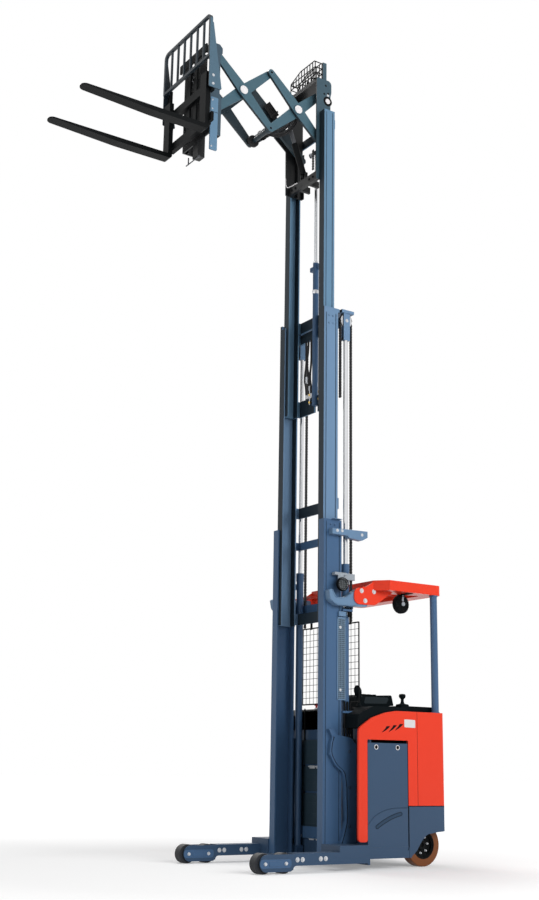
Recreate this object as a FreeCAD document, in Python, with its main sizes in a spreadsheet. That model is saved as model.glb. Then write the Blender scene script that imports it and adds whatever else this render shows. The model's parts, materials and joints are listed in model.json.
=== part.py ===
import FreeCAD, Part
import math
import os
import Sketcher
from FreeCAD import Placement, Rotation, Vector

# A double deep reach truck: a stand-up truck with two straddle legs, a three-stage mast
# and a double scissor that carries the forks forward. Millimetres, +X ahead towards the
# fork tips, +Y to the truck's left, +Z up. The origin is on the floor, half way between
# the rear of the body and the fork tips. The mast is raised and the scissor is run out.

doc = FreeCAD.newDocument("reach_truck")

# ---------------------------------------------------------------- driving sizes
SIZES = {
    # legs and load wheels, measured from the front load axle
    "load_wheel_radius": 75,
    "load_wheel_width": 84,
    "load_axle_gap": 185,
    "load_axle_radius": 14,
    "leg_half_width": 627.5,
    "leg_width": 125,
    "leg_bar_low": 56,
    "leg_bar_high": 143,
    "leg_foot_high": 190,
    "leg_rear": 977,
    "boss_low": 16,
    "boss_high": 140,
    "boss_nose": 43,
    "boss_tail": 67,
    "boss_skirt": 90,
    "cheek_plate": 12,
    # mast stages
    "mast_setback": 699,
    "mast_half_width": 380,
    "mast_depth": 184,
    "rail_flange": 75,
    "rail_thickness": 12,
    "stage_step": 35,
    "stage_inset": 17,
    "mast_foot": 77,
    "stage_length": 2725,
    "inner_length": 2830,
    "lift_stroke": 1883,
    "free_lift": 2199,
    "tie_height": 95,
    "tie_plate": 12,
    # lift cylinders and chains
    "cylinder_setback": 956,
    "cylinder_half_width": 335,
    "cylinder_radius": 31,
    "cylinder_rod_radius": 20,
    "barrel_drop": 362,
    "sheave_radius": 60,
    "chain_width": 22,
    "chain_anchor_drop": 845,
    "free_barrel_radius": 27,
    "free_rod_radius": 17,
    "free_barrel_length": 1427,
    # lift carriage and scissor
    "carriage_half_width": 230,
    "carriage_plate": 12,
    "carriage_front": 690,
    "carriage_head": 100,
    "carriage_drop": 940,
    "top_plate_rear": 830,
    "horn_reach": 160,
    "basket_front": 700,
    "basket_rear": 778,
    "basket_half_width": 205,
    "basket_height": 190,
    "pivot_setback": 821,
    "pivot_rise": 257,
    "half_arm": 410,
    "arm_angle": 43.5,
    "arm_hub_radius": 56,
    "arm_end_radius": 33,
    "arm_thickness": 25,
    "outer_arm_in": 158,
    "inner_arm_in": 128,
    "arm_pin_radius": 22,
    "roller_radius": 27,
    "disc_radius": 46,
    "roller_gap": 2,
    "channel_flange": 8,
    "channel_spare": 60,
    # fork frame, backrest and forks
    "frame_half_width": 240,
    "frame_plate": 14,
    "frame_nose": 76,
    "frame_drop": 845,
    "frame_head": 45,
    "cover_drop": 1005,
    "cover_head_drop": 500,
    "cover_depth": 73,
    "column_drop": 980,
    "fork_drop": 899,
    "fork_length": 1135,
    "fork_width": 100,
    "fork_thickness": 42,
    "fork_half_spacing": 323,
    "backrest_half_width": 415,
    "backrest_drop": 225,
    "backrest_head": 197,
    "backrest_bar": 26,
    "backrest_cheek_drop": 520,
    "backrest_cheek_depth": 132,
    # tractor body
    "body_half_width": 590,
    "body_rear": 1830,
    "body_side_rear": 1789,
    "body_front": 895,
    "body_low": 83,
    "skin": 4,
    "cowl_top": 1231,
    "cowl_seam": 1506,
    "split_height": 480,
    "strip_low": 210,
    "recess_front": 986,
    "recess_rear": 1407,
    "recess_top": 997,
    "door_top": 972,
    "skirt_low": 284,
    "frame_wall": 12,
    "cabin_front": 1425,
    "floor_height": 235,
    "deck_height": 1262,
    "dash_front": 1108,
    "dash_rear": 1470,
    "dash_top": 1373,
    "knob_setback": 1512,
    "stick_setback": 1072,
    # drive and caster wheels
    "drive_wheel_radius": 171.5,
    "drive_wheel_width": 90,
    "drive_rim_radius": 112,
    "drive_wheel_face": 475,
    "drive_axle": 1652,
    "kingpin_offset": 45,
    "caster_radius": 90,
    "caster_width": 60,
    # operator guard
    "post_radius": 31,
    "post_setback": 1762,
    "right_post_setback": 1385,
    "guard_front": 964,
    "guard_flare": 1165,
    "guard_rear": 1825,
    "guard_front_half_width": 450,
    "guard_half_width": 560,
    "guard_low": 2215,
    "guard_high": 2310,
    "guard_plate": 10,
    "lobe_low": 2096,
    "lobe_rear": 1183,
    "lobe_tail": 1372,
    "fan_setback": 1505,
    "fan_height": 2142,
    "fan_radius": 80,
    "fan_depth": 52,
    "lamp_setback": 842,
    "lamp_height": 2248,
    "lamp_radius": 58,
    # general clearances
    "running_gap": 5,
    "seat_gap": 0.3,
}

sheet = doc.addObject("Spreadsheet::Sheet", "Sizes")
for row, (word, number) in enumerate(SIZES.items(), start=1):
    sheet.set(f"A{row}", word)
    sheet.set(f"B{row}", str(number))
    sheet.setAlias(f"B{row}", word)
doc.recompute()


class Size:
    """A length with its number and its sheet formula, so that sums stay bound to the sheet."""

    def __init__(self, number, formula=None):
        self.number = float(number)
        self.formula = formula or f"{self.number:.6f}"

    def __float__(self):
        return self.number

    def __add__(self, other):
        other = size_of(other)
        return Size(self.number + other.number, f"({self.formula} + {other.formula})")

    def __sub__(self, other):
        other = size_of(other)
        return Size(self.number - other.number, f"({self.formula} - {other.formula})")

    def __mul__(self, other):
        other = size_of(other)
        return Size(self.number * other.number, f"({self.formula} * {other.formula})")

    def __truediv__(self, other):
        other = size_of(other)
        return Size(self.number / other.number, f"({self.formula} / {other.formula})")

    def __radd__(self, other):
        return size_of(other) + self

    def __rsub__(self, other):
        return size_of(other) - self

    def __rmul__(self, other):
        return size_of(other) * self

    def __neg__(self):
        return size_of(0) - self

    def __lt__(self, other):
        return self.number < float(other)


def size_of(value):
    return value if isinstance(value, Size) else Size(value)


def cosine(angle):
    return Size(math.cos(math.radians(float(angle))), f"cos({angle.formula} * 1 deg)")


def sine(angle):
    return Size(math.sin(math.radians(float(angle))), f"sin({angle.formula} * 1 deg)")


class Sheet:
    """Each driving size by its word, as S.leg_width."""

    def __getattr__(self, word):
        return Size(SIZES[word], f"Sizes.{word}")


S = Sheet()


# ---------------------------------------------------------------- ways of making pieces
used_names = {}


def unique(name):
    used_names[name] = used_names.get(name, 0) + 1
    return f"{name}_{used_names[name]}"


def bind(thing, **formulas):
    """Binds properties to the sheet; Base_x stands for Placement.Base.x."""
    for prop, value in formulas.items():
        path = "Placement.Base." + prop[-1] if prop.startswith("Base_") else prop
        thing.setExpression(path, size_of(value).formula)


def span(pair):
    """The lower and the higher end of a pair of places."""
    low, high = (size_of(place) for place in pair)
    return (low, high) if low < high else (high, low)


def box(x, y, z):
    """A block between two places along each axis."""
    block = doc.addObject("Part::Box", unique("block"))
    (x0, x1), (y0, y1), (z0, z1) = span(x), span(y), span(z)
    bind(block, Length=x1 - x0, Width=y1 - y0, Height=z1 - z0, Base_x=x0, Base_y=y0, Base_z=z0)
    return block


TURNS = {"x": Rotation(Vector(0, 1, 0), 90), "y": Rotation(Vector(1, 0, 0), -90), "z": Rotation()}


def rod(axis, radius, along, centre):
    """A round bar along an axis, between two places; centre gives its other two places."""
    low, high = span(along)
    bar = doc.addObject("Part::Cylinder", unique("rod"))
    bar.Placement = Placement(Vector(), TURNS[axis])
    bind(bar, Radius=radius, Height=high - low)
    places = {"x": (low, *centre), "y": (centre[0], low, centre[1]), "z": (*centre, low)}[axis]
    bind(bar, Base_x=places[0], Base_y=places[1], Base_z=places[2])
    return bar


def fuse(*pieces):
    whole = doc.addObject("Part::MultiFuse", unique("fused"))
    whole.Shapes = list(pieces)
    return whole


def cut(base, *tools):
    """The base less the tools."""
    tool = tools[0] if len(tools) == 1 else fuse(*tools)
    rest = doc.addObject("Part::Cut", unique("cut"))
    rest.Base = base
    rest.Tool = tool
    return rest


def shared(first, second):
    """What two pieces have in common."""
    common = doc.addObject("Part::Common", unique("shared"))
    common.Base = first
    common.Tool = second
    return common


nodes = {}


def node(name, *pieces):
    """A sub-part: its pieces under one label, which names its file."""
    whole = pieces[0] if len(pieces) == 1 else fuse(*pieces)
    whole.Label = name
    nodes[name] = whole
    return whole


def tangent_length(before, corner, after, radius):
    """How far from a corner its rounding starts: radius over the tangent of half the angle."""
    to_before = (before - corner).normalize()
    to_after = (after - corner).normalize()
    half = to_before.getAngle(to_after) / 2
    return radius / math.tan(half), to_before, to_after, half


def draw_outline(sketch, corners):
    """A closed outline of straight runs; a corner (x, y, radius) is rounded."""
    spots = [Vector(float(c[0]), float(c[1]), 0) for c in corners]
    count = len(corners)
    starts, ends, arcs = list(spots), list(spots), [None] * count
    for i, corner in enumerate(corners):
        if len(corner) < 3:
            continue
        radius = float(corner[2])
        reach, back, ahead, half = tangent_length(spots[i - 1], spots[i], spots[(i + 1) % count], radius)
        ends[i] = spots[i] + back * reach
        starts[i] = spots[i] + ahead * reach
        centre = spots[i] + (back + ahead).normalize() * (radius / math.sin(half))
        middle = centre + (spots[i] - centre).normalize() * radius
        arcs[i] = Part.Arc(ends[i], middle, starts[i])
    first = sketch.GeometryCount
    for i in range(count):
        sketch.addGeometry(Part.LineSegment(starts[i], ends[(i + 1) % count]), False)
    for i, corner in enumerate(corners):
        line_in, line_out = first + (i - 1) % count, first + i
        if arcs[i] is None:
            sketch.addConstraint(Sketcher.Constraint("Coincident", line_in, 2, line_out, 1))
            hold_point(sketch, line_out, 1, corner)
            continue
        arc = sketch.addGeometry(arcs[i], False)
        mark = sketch.addGeometry(Part.Point(spots[i]), True)
        hold_point(sketch, mark, 1, corner)
        start_first = (sketch.getPoint(arc, 1) - ends[i]).Length < (sketch.getPoint(arc, 2) - ends[i]).Length
        near, far = (1, 2) if start_first else (2, 1)
        sketch.addConstraint(Sketcher.Constraint("Tangent", line_in, 2, arc, near))
        sketch.addConstraint(Sketcher.Constraint("Tangent", line_out, 1, arc, far))
        sketch.addConstraint(Sketcher.Constraint("PointOnObject", mark, 1, line_in))
        sketch.addConstraint(Sketcher.Constraint("PointOnObject", mark, 1, line_out))
        hold(sketch, "Radius", size_of(corner[2]), arc)


def draw_circle(sketch, centre, radius):
    spot = Vector(float(centre[0]), float(centre[1]), 0)
    ring = sketch.addGeometry(Part.Circle(spot, Vector(0, 0, 1), float(radius)), False)
    hold_point(sketch, ring, 3, centre)
    hold(sketch, "Radius", size_of(radius), ring)


def hold(sketch, kind, value, *where):
    """Adds a dimension and binds it to the sheet."""
    index = sketch.addConstraint(Sketcher.Constraint(kind, *where, float(value)))
    sketch.setExpression(f"Constraints[{index}]", value.formula)


def hold_point(sketch, geometry, end, place):
    hold(sketch, "DistanceX", size_of(place[0]), -1, 1, geometry, end)
    hold(sketch, "DistanceY", size_of(place[1]), -1, 1, geometry, end)


def origin_part(body, role):
    return next(part for part in body.Origin.OriginFeatures if part.Role == role)


def plate(plane, corners, low_high, holes=()):
    """An outline in the XZ, XY or YZ plane, padded between two places on the third axis.

    Holes are other outlines, or a centre and a radius as ((x, y), radius).
    """
    low, high = span(low_high)
    body = doc.addObject("PartDesign::Body", unique("plate"))
    sketch = body.newObject("Sketcher::SketchObject", unique("outline"))
    sketch.AttachmentSupport = [(origin_part(body, plane + "_Plane"), "")]
    sketch.MapMode = "FlatFace"
    # the XZ plane's normal points along -Y, so its pad runs from the high place to the low one
    sketch.setExpression("AttachmentOffset.Base.z", (-high if plane == "XZ" else low).formula)
    draw_outline(sketch, corners)
    for hole in holes:
        if isinstance(hole[0], tuple) and not isinstance(hole[1], tuple):
            draw_circle(sketch, hole[0], hole[1])
        else:
            draw_outline(sketch, hole)
    pad = body.newObject("PartDesign::Pad", unique("pad"))
    pad.Profile = sketch
    bind(pad, Length=high - low)
    body.Tip = pad
    return body


def turned(axis, profile, centre):
    """A profile of (along, radius) corners turned a full turn about an axis through centre."""
    body = doc.addObject("PartDesign::Body", unique("turned"))
    sketch = body.newObject("Sketcher::SketchObject", unique("profile"))
    sketch.AttachmentSupport = [(origin_part(body, "XZ_Plane"), "")]
    sketch.MapMode = "FlatFace"
    draw_outline(sketch, [(corner[1], corner[0], *corner[2:]) for corner in profile])
    turn = body.newObject("PartDesign::Revolution", unique("turn"))
    turn.Profile = sketch
    turn.ReferenceAxis = (sketch, ["V_Axis"])
    turn.Angle = 360
    body.Tip = turn
    body.Placement = Placement(Vector(), TURNS[axis])
    bind(body, Base_x=centre[0], Base_y=centre[1], Base_z=centre[2])
    return body


SIDES = (("left", 1), ("right", -1))

# ---------------------------------------------------------------- places that follow
# the scissor: four half arms from the rear pins to the front pins
arm_run = S.half_arm * cosine(S.arm_angle)
arm_rise = S.half_arm * sine(S.arm_angle)
front_pin_ahead = 4 * arm_run - S.pivot_setback
channel_half = S.roller_radius + S.roller_gap + S.channel_flange
frame_back_ahead = front_pin_ahead - channel_half
frame_face_ahead = front_pin_ahead + S.frame_nose
tilt_gap = Size(40)
tilt_plate = Size(16)
tilt_back_ahead = frame_face_ahead + tilt_gap
fork_bar_back_ahead = tilt_back_ahead + tilt_plate + S.seat_gap
fork_bar_plate = Size(26)
shank_back_ahead = fork_bar_back_ahead + fork_bar_plate
shank_face_ahead = shank_back_ahead + S.fork_thickness
tip_ahead = shank_face_ahead + S.fork_length
axle_x = (S.body_rear - tip_ahead) / 2


def ahead(distance):
    """A place along X by its distance ahead of the front load axle."""
    return axle_x + distance


def behind(distance):
    """A place along X by its distance behind the front load axle."""
    return axle_x - distance


mast_face = behind(S.mast_setback)
mast_back = mast_face - S.mast_depth
middle_half = S.mast_half_width - S.stage_step
inner_half = middle_half - S.stage_step
middle_face = mast_face - S.stage_inset
middle_back = mast_back + S.stage_inset
inner_face = middle_face - S.stage_inset
inner_back = middle_back + S.stage_inset
middle_foot = S.mast_foot + S.lift_stroke
inner_foot = middle_foot + S.lift_stroke
outer_top = S.mast_foot + S.stage_length
middle_top = middle_foot + S.stage_length
inner_top = inner_foot + S.inner_length
cylinder_x = behind(S.cylinder_setback)
carriage_face = behind(S.carriage_front)
rear_pin_x = behind(S.pivot_setback)
pivot_height = inner_top + S.pivot_rise
carriage_top = pivot_height + S.carriage_head
carriage_low = pivot_height - S.carriage_drop
frame_high = pivot_height + S.frame_head
frame_low = pivot_height - S.frame_drop
fork_underside = pivot_height - S.fork_drop
backrest_low = pivot_height - S.backrest_drop
backrest_top = pivot_height + S.backrest_head
free_barrel_top = inner_foot + S.free_barrel_length
barrel_top = outer_top - S.barrel_drop
chain_anchor = outer_top - S.chain_anchor_drop
hub_height = pivot_height - arm_rise
low_pin_height = pivot_height - 2 * arm_rise
channel_top = low_pin_height + S.roller_radius + S.channel_spare
rear_hub_x = rear_pin_x + arm_run
middle_pin_x = rear_hub_x + arm_run
front_hub_x = middle_pin_x + arm_run
front_pin_x = front_hub_x + arm_run
channel_back = rear_pin_x - channel_half
leg_in = S.leg_half_width - S.leg_width


# ---------------------------------------------------------------- legs and load wheels
def straddle_legs():
    legs = []
    for side, sign in SIDES:
        back_of_slot = behind(S.load_axle_gap + S.load_wheel_radius + S.running_gap * 2)
        legs.append(box((behind(S.leg_rear), back_of_slot), (sign * leg_in, sign * S.leg_half_width),
                        (S.leg_bar_low, S.leg_bar_high)))
        legs.append(box((behind(S.leg_rear), mast_face + S.cheek_plate),
                        (sign * (S.mast_half_width + S.seat_gap), sign * S.leg_half_width),
                        (S.leg_bar_low, S.leg_foot_high)))
        tail = behind(S.load_axle_gap + S.boss_tail)
        outline = [(ahead(S.boss_nose), S.boss_low, 58), (ahead(S.boss_nose), S.boss_high, 58),
                   (tail - S.boss_skirt, S.boss_high), (tail - S.boss_skirt, S.leg_bar_low),
                   (tail, S.leg_bar_low, 30), (tail, S.boss_low, 30)]
        for out in (S.leg_half_width, leg_in + S.cheek_plate):
            legs.append(plate("XZ", outline, (sign * (out - S.cheek_plate), sign * out)))
        for gap in (0, S.load_axle_gap):
            legs.append(rod("y", S.load_axle_radius, (sign * leg_in, sign * S.leg_half_width),
                            (behind(gap), S.load_wheel_radius)))
    node("straddle_legs", *legs)


def load_wheels():
    centre_y = S.leg_half_width - S.leg_width / 2
    half = S.load_wheel_width / 2
    bore = S.load_axle_radius + 0.1
    for side, sign in SIDES:
        for place, gap in (("front", Size(0)), ("rear", S.load_axle_gap)):
            profile = [(-half, bore), (-half, S.load_wheel_radius, 6), (half, S.load_wheel_radius, 6), (half, bore)]
            node(f"load_wheel_{side}_{place}",
                 turned("y", profile, (behind(gap), sign * centre_y, S.load_wheel_radius)))


# ---------------------------------------------------------------- mast
def rail(sign, half_width, face, back, foot, top):
    """A channel open towards the mast's middle: a web outside and a flange front and rear."""
    inner_edge = half_width - S.rail_flange
    outline = [(face, sign * inner_edge), (face, sign * half_width), (back, sign * half_width),
               (back, sign * inner_edge), (back + S.rail_thickness, sign * inner_edge),
               (back + S.rail_thickness, sign * (half_width - S.rail_thickness)),
               (face - S.rail_thickness, sign * (half_width - S.rail_thickness)),
               (face - S.rail_thickness, sign * inner_edge)]
    return plate("XY", outline, (foot, top))


def tie(back, front, half_width, low, height):
    """A flat plate across the mast, with cheeks that reach forward to the rails."""
    plate_back = back
    pieces = [box((plate_back, plate_back + S.tie_plate), (-half_width, half_width), (low, low + height))]
    for side, sign in SIDES:
        pieces.append(box((plate_back, front), (sign * (half_width - S.tie_plate), sign * half_width),
                          (low, low + height)))
    return pieces


def slide_pads(half_width, outer_half_width, foot, middle_x):
    """The wear pads at a stage's foot, which run on the web of the rail around it."""
    pads = []
    for side, sign in SIDES:
        for low in (foot + 30, foot + 560):
            pads.append(box((middle_x - 35, middle_x + 35),
                            (sign * half_width, sign * (outer_half_width - S.rail_thickness - S.seat_gap)),
                            (low, low + 90)))
    return pads


middle_tie_x = mast_back - 31
inner_tie_x = inner_back - 40
rear_tie_x = cylinder_x - S.cylinder_radius - S.running_gap - S.tie_plate


def outer_mast():
    pieces = [rail(sign, S.mast_half_width, mast_face, mast_back, S.mast_foot, outer_top) for side, sign in SIDES]
    for low in (S.mast_foot + 120, Size(2060)):
        pieces += tie(rear_tie_x, mast_back, S.mast_half_width, low, S.tie_height)
    upper_half = S.mast_half_width - S.rail_flange + 8
    pieces += tie(middle_tie_x - 20, mast_back, upper_half, outer_top - 165, Size(70))
    node("outer_mast", *pieces)


def middle_mast():
    pieces = [rail(sign, middle_half, middle_face, middle_back, middle_foot, middle_top) for side, sign in SIDES]
    half = S.mast_half_width - S.rail_flange - S.running_gap * 1.6
    for low in (middle_foot + 15, middle_foot + 960, middle_top - 125):
        pieces += tie(middle_tie_x, middle_back, half, low, S.tie_height)
    pieces += slide_pads(middle_half, S.mast_half_width, middle_foot, (middle_face + middle_back) / 2)
    head_low = middle_top + S.running_gap
    head_high = head_low + 28
    head_rear = cylinder_x - S.sheave_radius - 12
    pieces.append(box((head_rear, mast_back - 12), (-middle_half - 22, middle_half + 22), (head_low, head_high)))
    for side, sign in SIDES:
        tab_in = inner_half + 8
        pieces.append(box((middle_face, mast_back), (sign * tab_in, sign * middle_half), (middle_top, head_high)))
        for edge in (S.cylinder_half_width - 18, S.cylinder_half_width + 18):
            pieces.append(box((cylinder_x - 34, cylinder_x + 34), (sign * (edge - 3), sign * (edge + 3)),
                              (head_low - 230, head_low)))
        pieces.append(box((cylinder_x - 34, cylinder_x + 34),
                          (sign * (S.cylinder_half_width - 21), sign * (S.cylinder_half_width + 21)),
                          (head_low - 250, head_low - 225)))
    node("middle_mast", *pieces)


def lift_rods():
    rods = []
    for side, sign in SIDES:
        rods.append(rod("z", S.cylinder_rod_radius, (barrel_top - 150, middle_top + S.running_gap - 250),
                        (cylinder_x, sign * S.cylinder_half_width)))
    node("lift_rods", *rods)


def lift_barrels():
    pieces = []
    for side, sign in SIDES:
        spot = (cylinder_x, sign * S.cylinder_half_width)
        barrel = fuse(rod("z", S.cylinder_radius, (S.mast_foot + 60, barrel_top), spot),
                      rod("z", S.cylinder_radius + 4, (barrel_top - 70, barrel_top), spot),
                      box((cylinder_x - 35, cylinder_x + 35),
                          (sign * (S.cylinder_half_width - 34), sign * (S.cylinder_half_width + 34)),
                          (S.mast_foot - 20, S.mast_foot + 60)))
        bore = rod("z", S.cylinder_rod_radius + 0.2, (S.mast_foot + 100, barrel_top + 10), spot)
        pieces.append(cut(barrel, bore))
    node("lift_barrels", *pieces)


sheave_height = middle_top - 62


def chain_sheaves():
    wheels = []
    for side, sign in SIDES:
        half = Size(13)
        profile = [(-half, 8.1), (-half, S.sheave_radius), (-half + 4, S.sheave_radius),
                   (-half + 6, S.sheave_radius - 8), (half - 6, S.sheave_radius - 8),
                   (half - 4, S.sheave_radius), (half, S.sheave_radius), (half, 8.1)]
        spot = (cylinder_x, sign * S.cylinder_half_width, sheave_height)
        wheels.append(turned("y", profile, spot))
        wheels.append(rod("y", 8, (sign * (S.cylinder_half_width - 15), sign * (S.cylinder_half_width + 15)),
                          (cylinder_x, sheave_height)))
    node("chain_sheaves", *wheels)


def lift_chains():
    run = S.sheave_radius - 2
    rear, front = [], []
    for side, sign in SIDES:
        across = (sign * (S.cylinder_half_width - S.chain_width / 2 + 5),
                  sign * (S.cylinder_half_width + S.chain_width / 2 - 5))
        rear.append(box((cylinder_x - run - 6, cylinder_x - run + 6), across, (chain_anchor, sheave_height)))
        front.append(box((cylinder_x + run - 6, cylinder_x + run + 6), across, (inner_foot + 60, sheave_height)))
    node("lift_chain_rear_runs", *rear)
    node("lift_chain_front_runs", *front)


free_x = inner_back - 18


def inner_mast():
    pieces = [rail(sign, inner_half, inner_face, inner_back, inner_foot, inner_top) for side, sign in SIDES]
    pieces += slide_pads(inner_half, middle_half, inner_foot, (inner_face + inner_back) / 2)
    half = middle_half - S.rail_flange - S.running_gap * 1.6
    for low, height in ((inner_foot + 5, 150), (inner_foot + 705, 55), (inner_foot + 815, 100), (inner_top - 140, 90)):
        pieces += tie(inner_tie_x, inner_back, half, low, height)
    node("inner_mast", cut(fuse(*pieces), rod("z", S.free_barrel_radius + S.seat_gap,
                                              (inner_foot, free_barrel_top + 5), (free_x, Size(0)))))


crosshead_low = free_barrel_top + S.free_lift / 2


def free_lift_cylinder():
    barrel = fuse(rod("z", S.free_barrel_radius, (inner_foot + 60, free_barrel_top), (free_x, Size(0))),
                  box((free_x - 24, free_x + 6), (Size(-85), Size(85)), (free_barrel_top - 60, free_barrel_top - 20)))
    bore = rod("z", S.free_rod_radius + 0.2, (inner_foot + 90, free_barrel_top + 10), (free_x, Size(0)))
    node("free_lift_barrel", cut(barrel, bore))
    half = Size(7)
    pieces = [rod("z", S.free_rod_radius, (free_barrel_top - 60, crosshead_low + 10), (free_x, Size(0))),
              box((free_x - 16, free_x + 18), (Size(-58), Size(58)), (crosshead_low, crosshead_low + 44)),
              rod("y", 9, (Size(-84), Size(84)), (free_x + 4, crosshead_low + 22))]
    for side, sign in SIDES:
        profile = [(-half, 9), (-half, 30), (half, 30), (half, 9)]
        pieces.append(turned("y", profile, (free_x + 4, sign * Size(72), crosshead_low + 22)))
    node("free_lift_ram", *pieces)


# ---------------------------------------------------------------- lift carriage
def lift_carriage():
    pieces = []
    out = S.carriage_half_width
    web_in = out - S.carriage_plate
    flange_in = S.outer_arm_in + S.arm_thickness + S.running_gap + 2
    roller_x = (inner_face + inner_back) / 2
    for side, sign in SIDES:
        outline = [(carriage_face - 10, carriage_low), (carriage_face - 10, carriage_top, 25),
                   (channel_back - 10, carriage_top, 40), (channel_back - 10, carriage_top - 120, 40),
                   (channel_back, carriage_top - 160, 20), (channel_back, carriage_low)]
        if side == "right":
            outline[:1] = [(carriage_face + 20, carriage_low), (carriage_face + 25, pivot_height - 490, 20),
                           (carriage_face + S.horn_reach, pivot_height - 382, 12),
                           (carriage_face + S.horn_reach, pivot_height - 355, 12),
                           (carriage_face + 15, pivot_height - 290, 60), (carriage_face - 10, pivot_height - 230, 40)]
        pieces.append(plate("XZ", outline, (sign * web_in, sign * out)))
        for edge in (channel_back, rear_pin_x + channel_half - S.channel_flange):
            pieces.append(box((edge, edge + S.channel_flange), (sign * flange_in, sign * web_in),
                              (carriage_low, channel_top)))
        pieces.append(rod("y", S.arm_pin_radius, (sign * S.inner_arm_in, sign * web_in),
                          (rear_pin_x, pivot_height)))
        for height in (carriage_low + 70, carriage_low + 560):
            pieces.append(rod("y", 20, (sign * out, sign * (out + 12)), (roller_x, height)))
            pieces.append(rod("y", 42, (sign * (out + 10), sign * (inner_half - S.rail_thickness - S.seat_gap)),
                              (roller_x, height)))
    pieces.append(box((carriage_face - 50, carriage_face - 14), (-web_in, web_in), (carriage_low, carriage_low + 80)))
    pieces.append(box((behind(S.top_plate_rear), carriage_face - 14), (-web_in, web_in),
                      (carriage_top - 40, carriage_top)))
    pieces.append(box((behind(811), behind(769)), (web_in, out), (carriage_top - 20, carriage_top + 175)))
    for side, sign in SIDES:
        pieces.append(box((free_x + 28, carriage_face - 30), (sign * Size(60), sign * Size(84)),
                          (carriage_low, carriage_low + 60)))
        pieces.append(box((carriage_face - 46, carriage_face - 18), (sign * Size(30), sign * Size(42)),
                          (carriage_low + 60, carriage_low + 145)))
    node("lift_carriage", *pieces)


def carriage_guard():
    """The wire basket on the carriage's head, low at its right end, which shields the hoses behind it."""
    low, high = carriage_top + 62, carriage_top + S.basket_height
    front, back = behind(S.basket_front), behind(S.basket_rear)
    half, wire, thick = S.basket_half_width, Size(3.5), Size(7)
    corner, drop = Size(-40), Size(62)
    rim = [(half, low, 12), (half, high, 18), (corner, high, 40), (-half, high - drop, 18), (-half, low, 12)]
    hole = [(half - thick, low + thick, 6), (half - thick, high - thick, 12), (corner, high - thick, 36),
            (-half + thick, high - drop - 2, 12), (-half + thick, low + thick, 6)]
    bars = []
    for x in (front, back):
        bars.append(plate("YZ", rim, (x - wire, x + wire), holes=[hole]))
        bars.append(box((x - wire, x + wire), (-half + 2, half - 2), (low + 55, low + 55 + thick)))
        count = 9
        for i in range(1, count):
            middle = -half + 2 * half * i / count
            down = Size(max(0.0, -float(middle) - 40) / 165) * drop
            bars.append(box((x - wire, x + wire), (middle - wire, middle + wire), (low + 2, high - down - 3)))
    for side, sign in SIDES:
        edge = (sign * (half - thick), sign * half)
        top = high if side == "left" else high - drop
        for height in (low, low + 55, top - thick - 10):
            bars.append(box((back, front), edge, (height, height + thick)))
        for x in (front, back):
            bars.append(box((x - wire, x + wire), edge, (carriage_top + S.seat_gap, low + 20)))
        bars.append(box((front - 14, front + wire), (sign * (half - 30), sign * half),
                        (carriage_top + S.seat_gap, carriage_top + 6)))
    node("carriage_basket", *bars)


# ---------------------------------------------------------------- scissor
pin_gap = 0.1


def scissor_bar(sign, low_end, rising, inside):
    """One bar of the scissor; low_end is its lower pin, and it rises forward or backward.

    It is drawn lying along X from its lower pin: deep at the hub and narrow at both ends.
    """
    angle = S.arm_angle if rising == "forward" else 180 - S.arm_angle
    end, hub, full = S.arm_end_radius, S.arm_hub_radius, 2 * S.half_arm
    edge = (sign * inside, sign * (inside + S.arm_thickness))
    outline = [(Size(0), -end), (S.half_arm, -hub, 300), (full, -end), (full, end), (S.half_arm, hub, 300),
               (Size(0), end)]
    bar = fuse(plate("XZ", outline, edge), rod("y", end, edge, (Size(0), Size(0))),
               rod("y", end, edge, (full, Size(0))), rod("y", hub, edge, (S.half_arm, Size(0))))
    bar.Placement = Placement(Vector(), Rotation(Vector(0, 1, 0), -float(angle)))
    bar.setExpression("Placement.Rotation.Angle", f"({angle.formula}) * 1 deg")
    bar.setExpression("Placement.Rotation.Axis.y", "-1")
    bind(bar, Base_x=low_end[0], Base_z=low_end[1])
    return bar


def pin(sign, place, inside, outside, radius=None):
    return rod("y", radius or S.arm_pin_radius, (sign * inside, sign * outside), place)


rear_high = (rear_pin_x, pivot_height)
rear_low = (rear_pin_x, low_pin_height)
rear_hub = (rear_hub_x, hub_height)
top_joint = (middle_pin_x, pivot_height)
low_joint = (middle_pin_x, low_pin_height)
front_hub = (front_hub_x, hub_height)
front_high = (front_pin_x, pivot_height)
front_low = (front_pin_x, low_pin_height)
arm_out = S.outer_arm_in + S.arm_thickness
inner_arm_out = S.inner_arm_in + S.arm_thickness
running_radius = S.arm_pin_radius + pin_gap
roller_in = arm_out + S.running_gap + 2


def rear_inner_arms():
    pieces, holes = [], []
    for side, sign in SIDES:
        pieces.append(scissor_bar(sign, low_joint, "backward", S.inner_arm_in))
        holes.append(pin(sign, rear_high, S.inner_arm_in - 5, inner_arm_out + 5, running_radius))
        holes.append(pin(sign, low_joint, S.inner_arm_in - 5, inner_arm_out + 5, S.arm_pin_radius + 2.5))
    arms = cut(fuse(*pieces), *holes)
    pins = []
    for side, sign in SIDES:
        pins.append(pin(sign, rear_hub, Size(20), arm_out + 1))
        pins.append(pin(sign, rear_hub, arm_out + 1, arm_out + 8, S.disc_radius))
        pins.append(pin(sign, rear_hub, Size(20), Size(32), 38))
    tie_bar = rod("y", 18, (-S.inner_arm_in - 5, S.inner_arm_in + 5),
                  (rear_hub_x + arm_run * 0.86, hub_height - arm_rise * 0.77))
    node("rear_inner_arms", arms, *pins, tie_bar)


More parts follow.
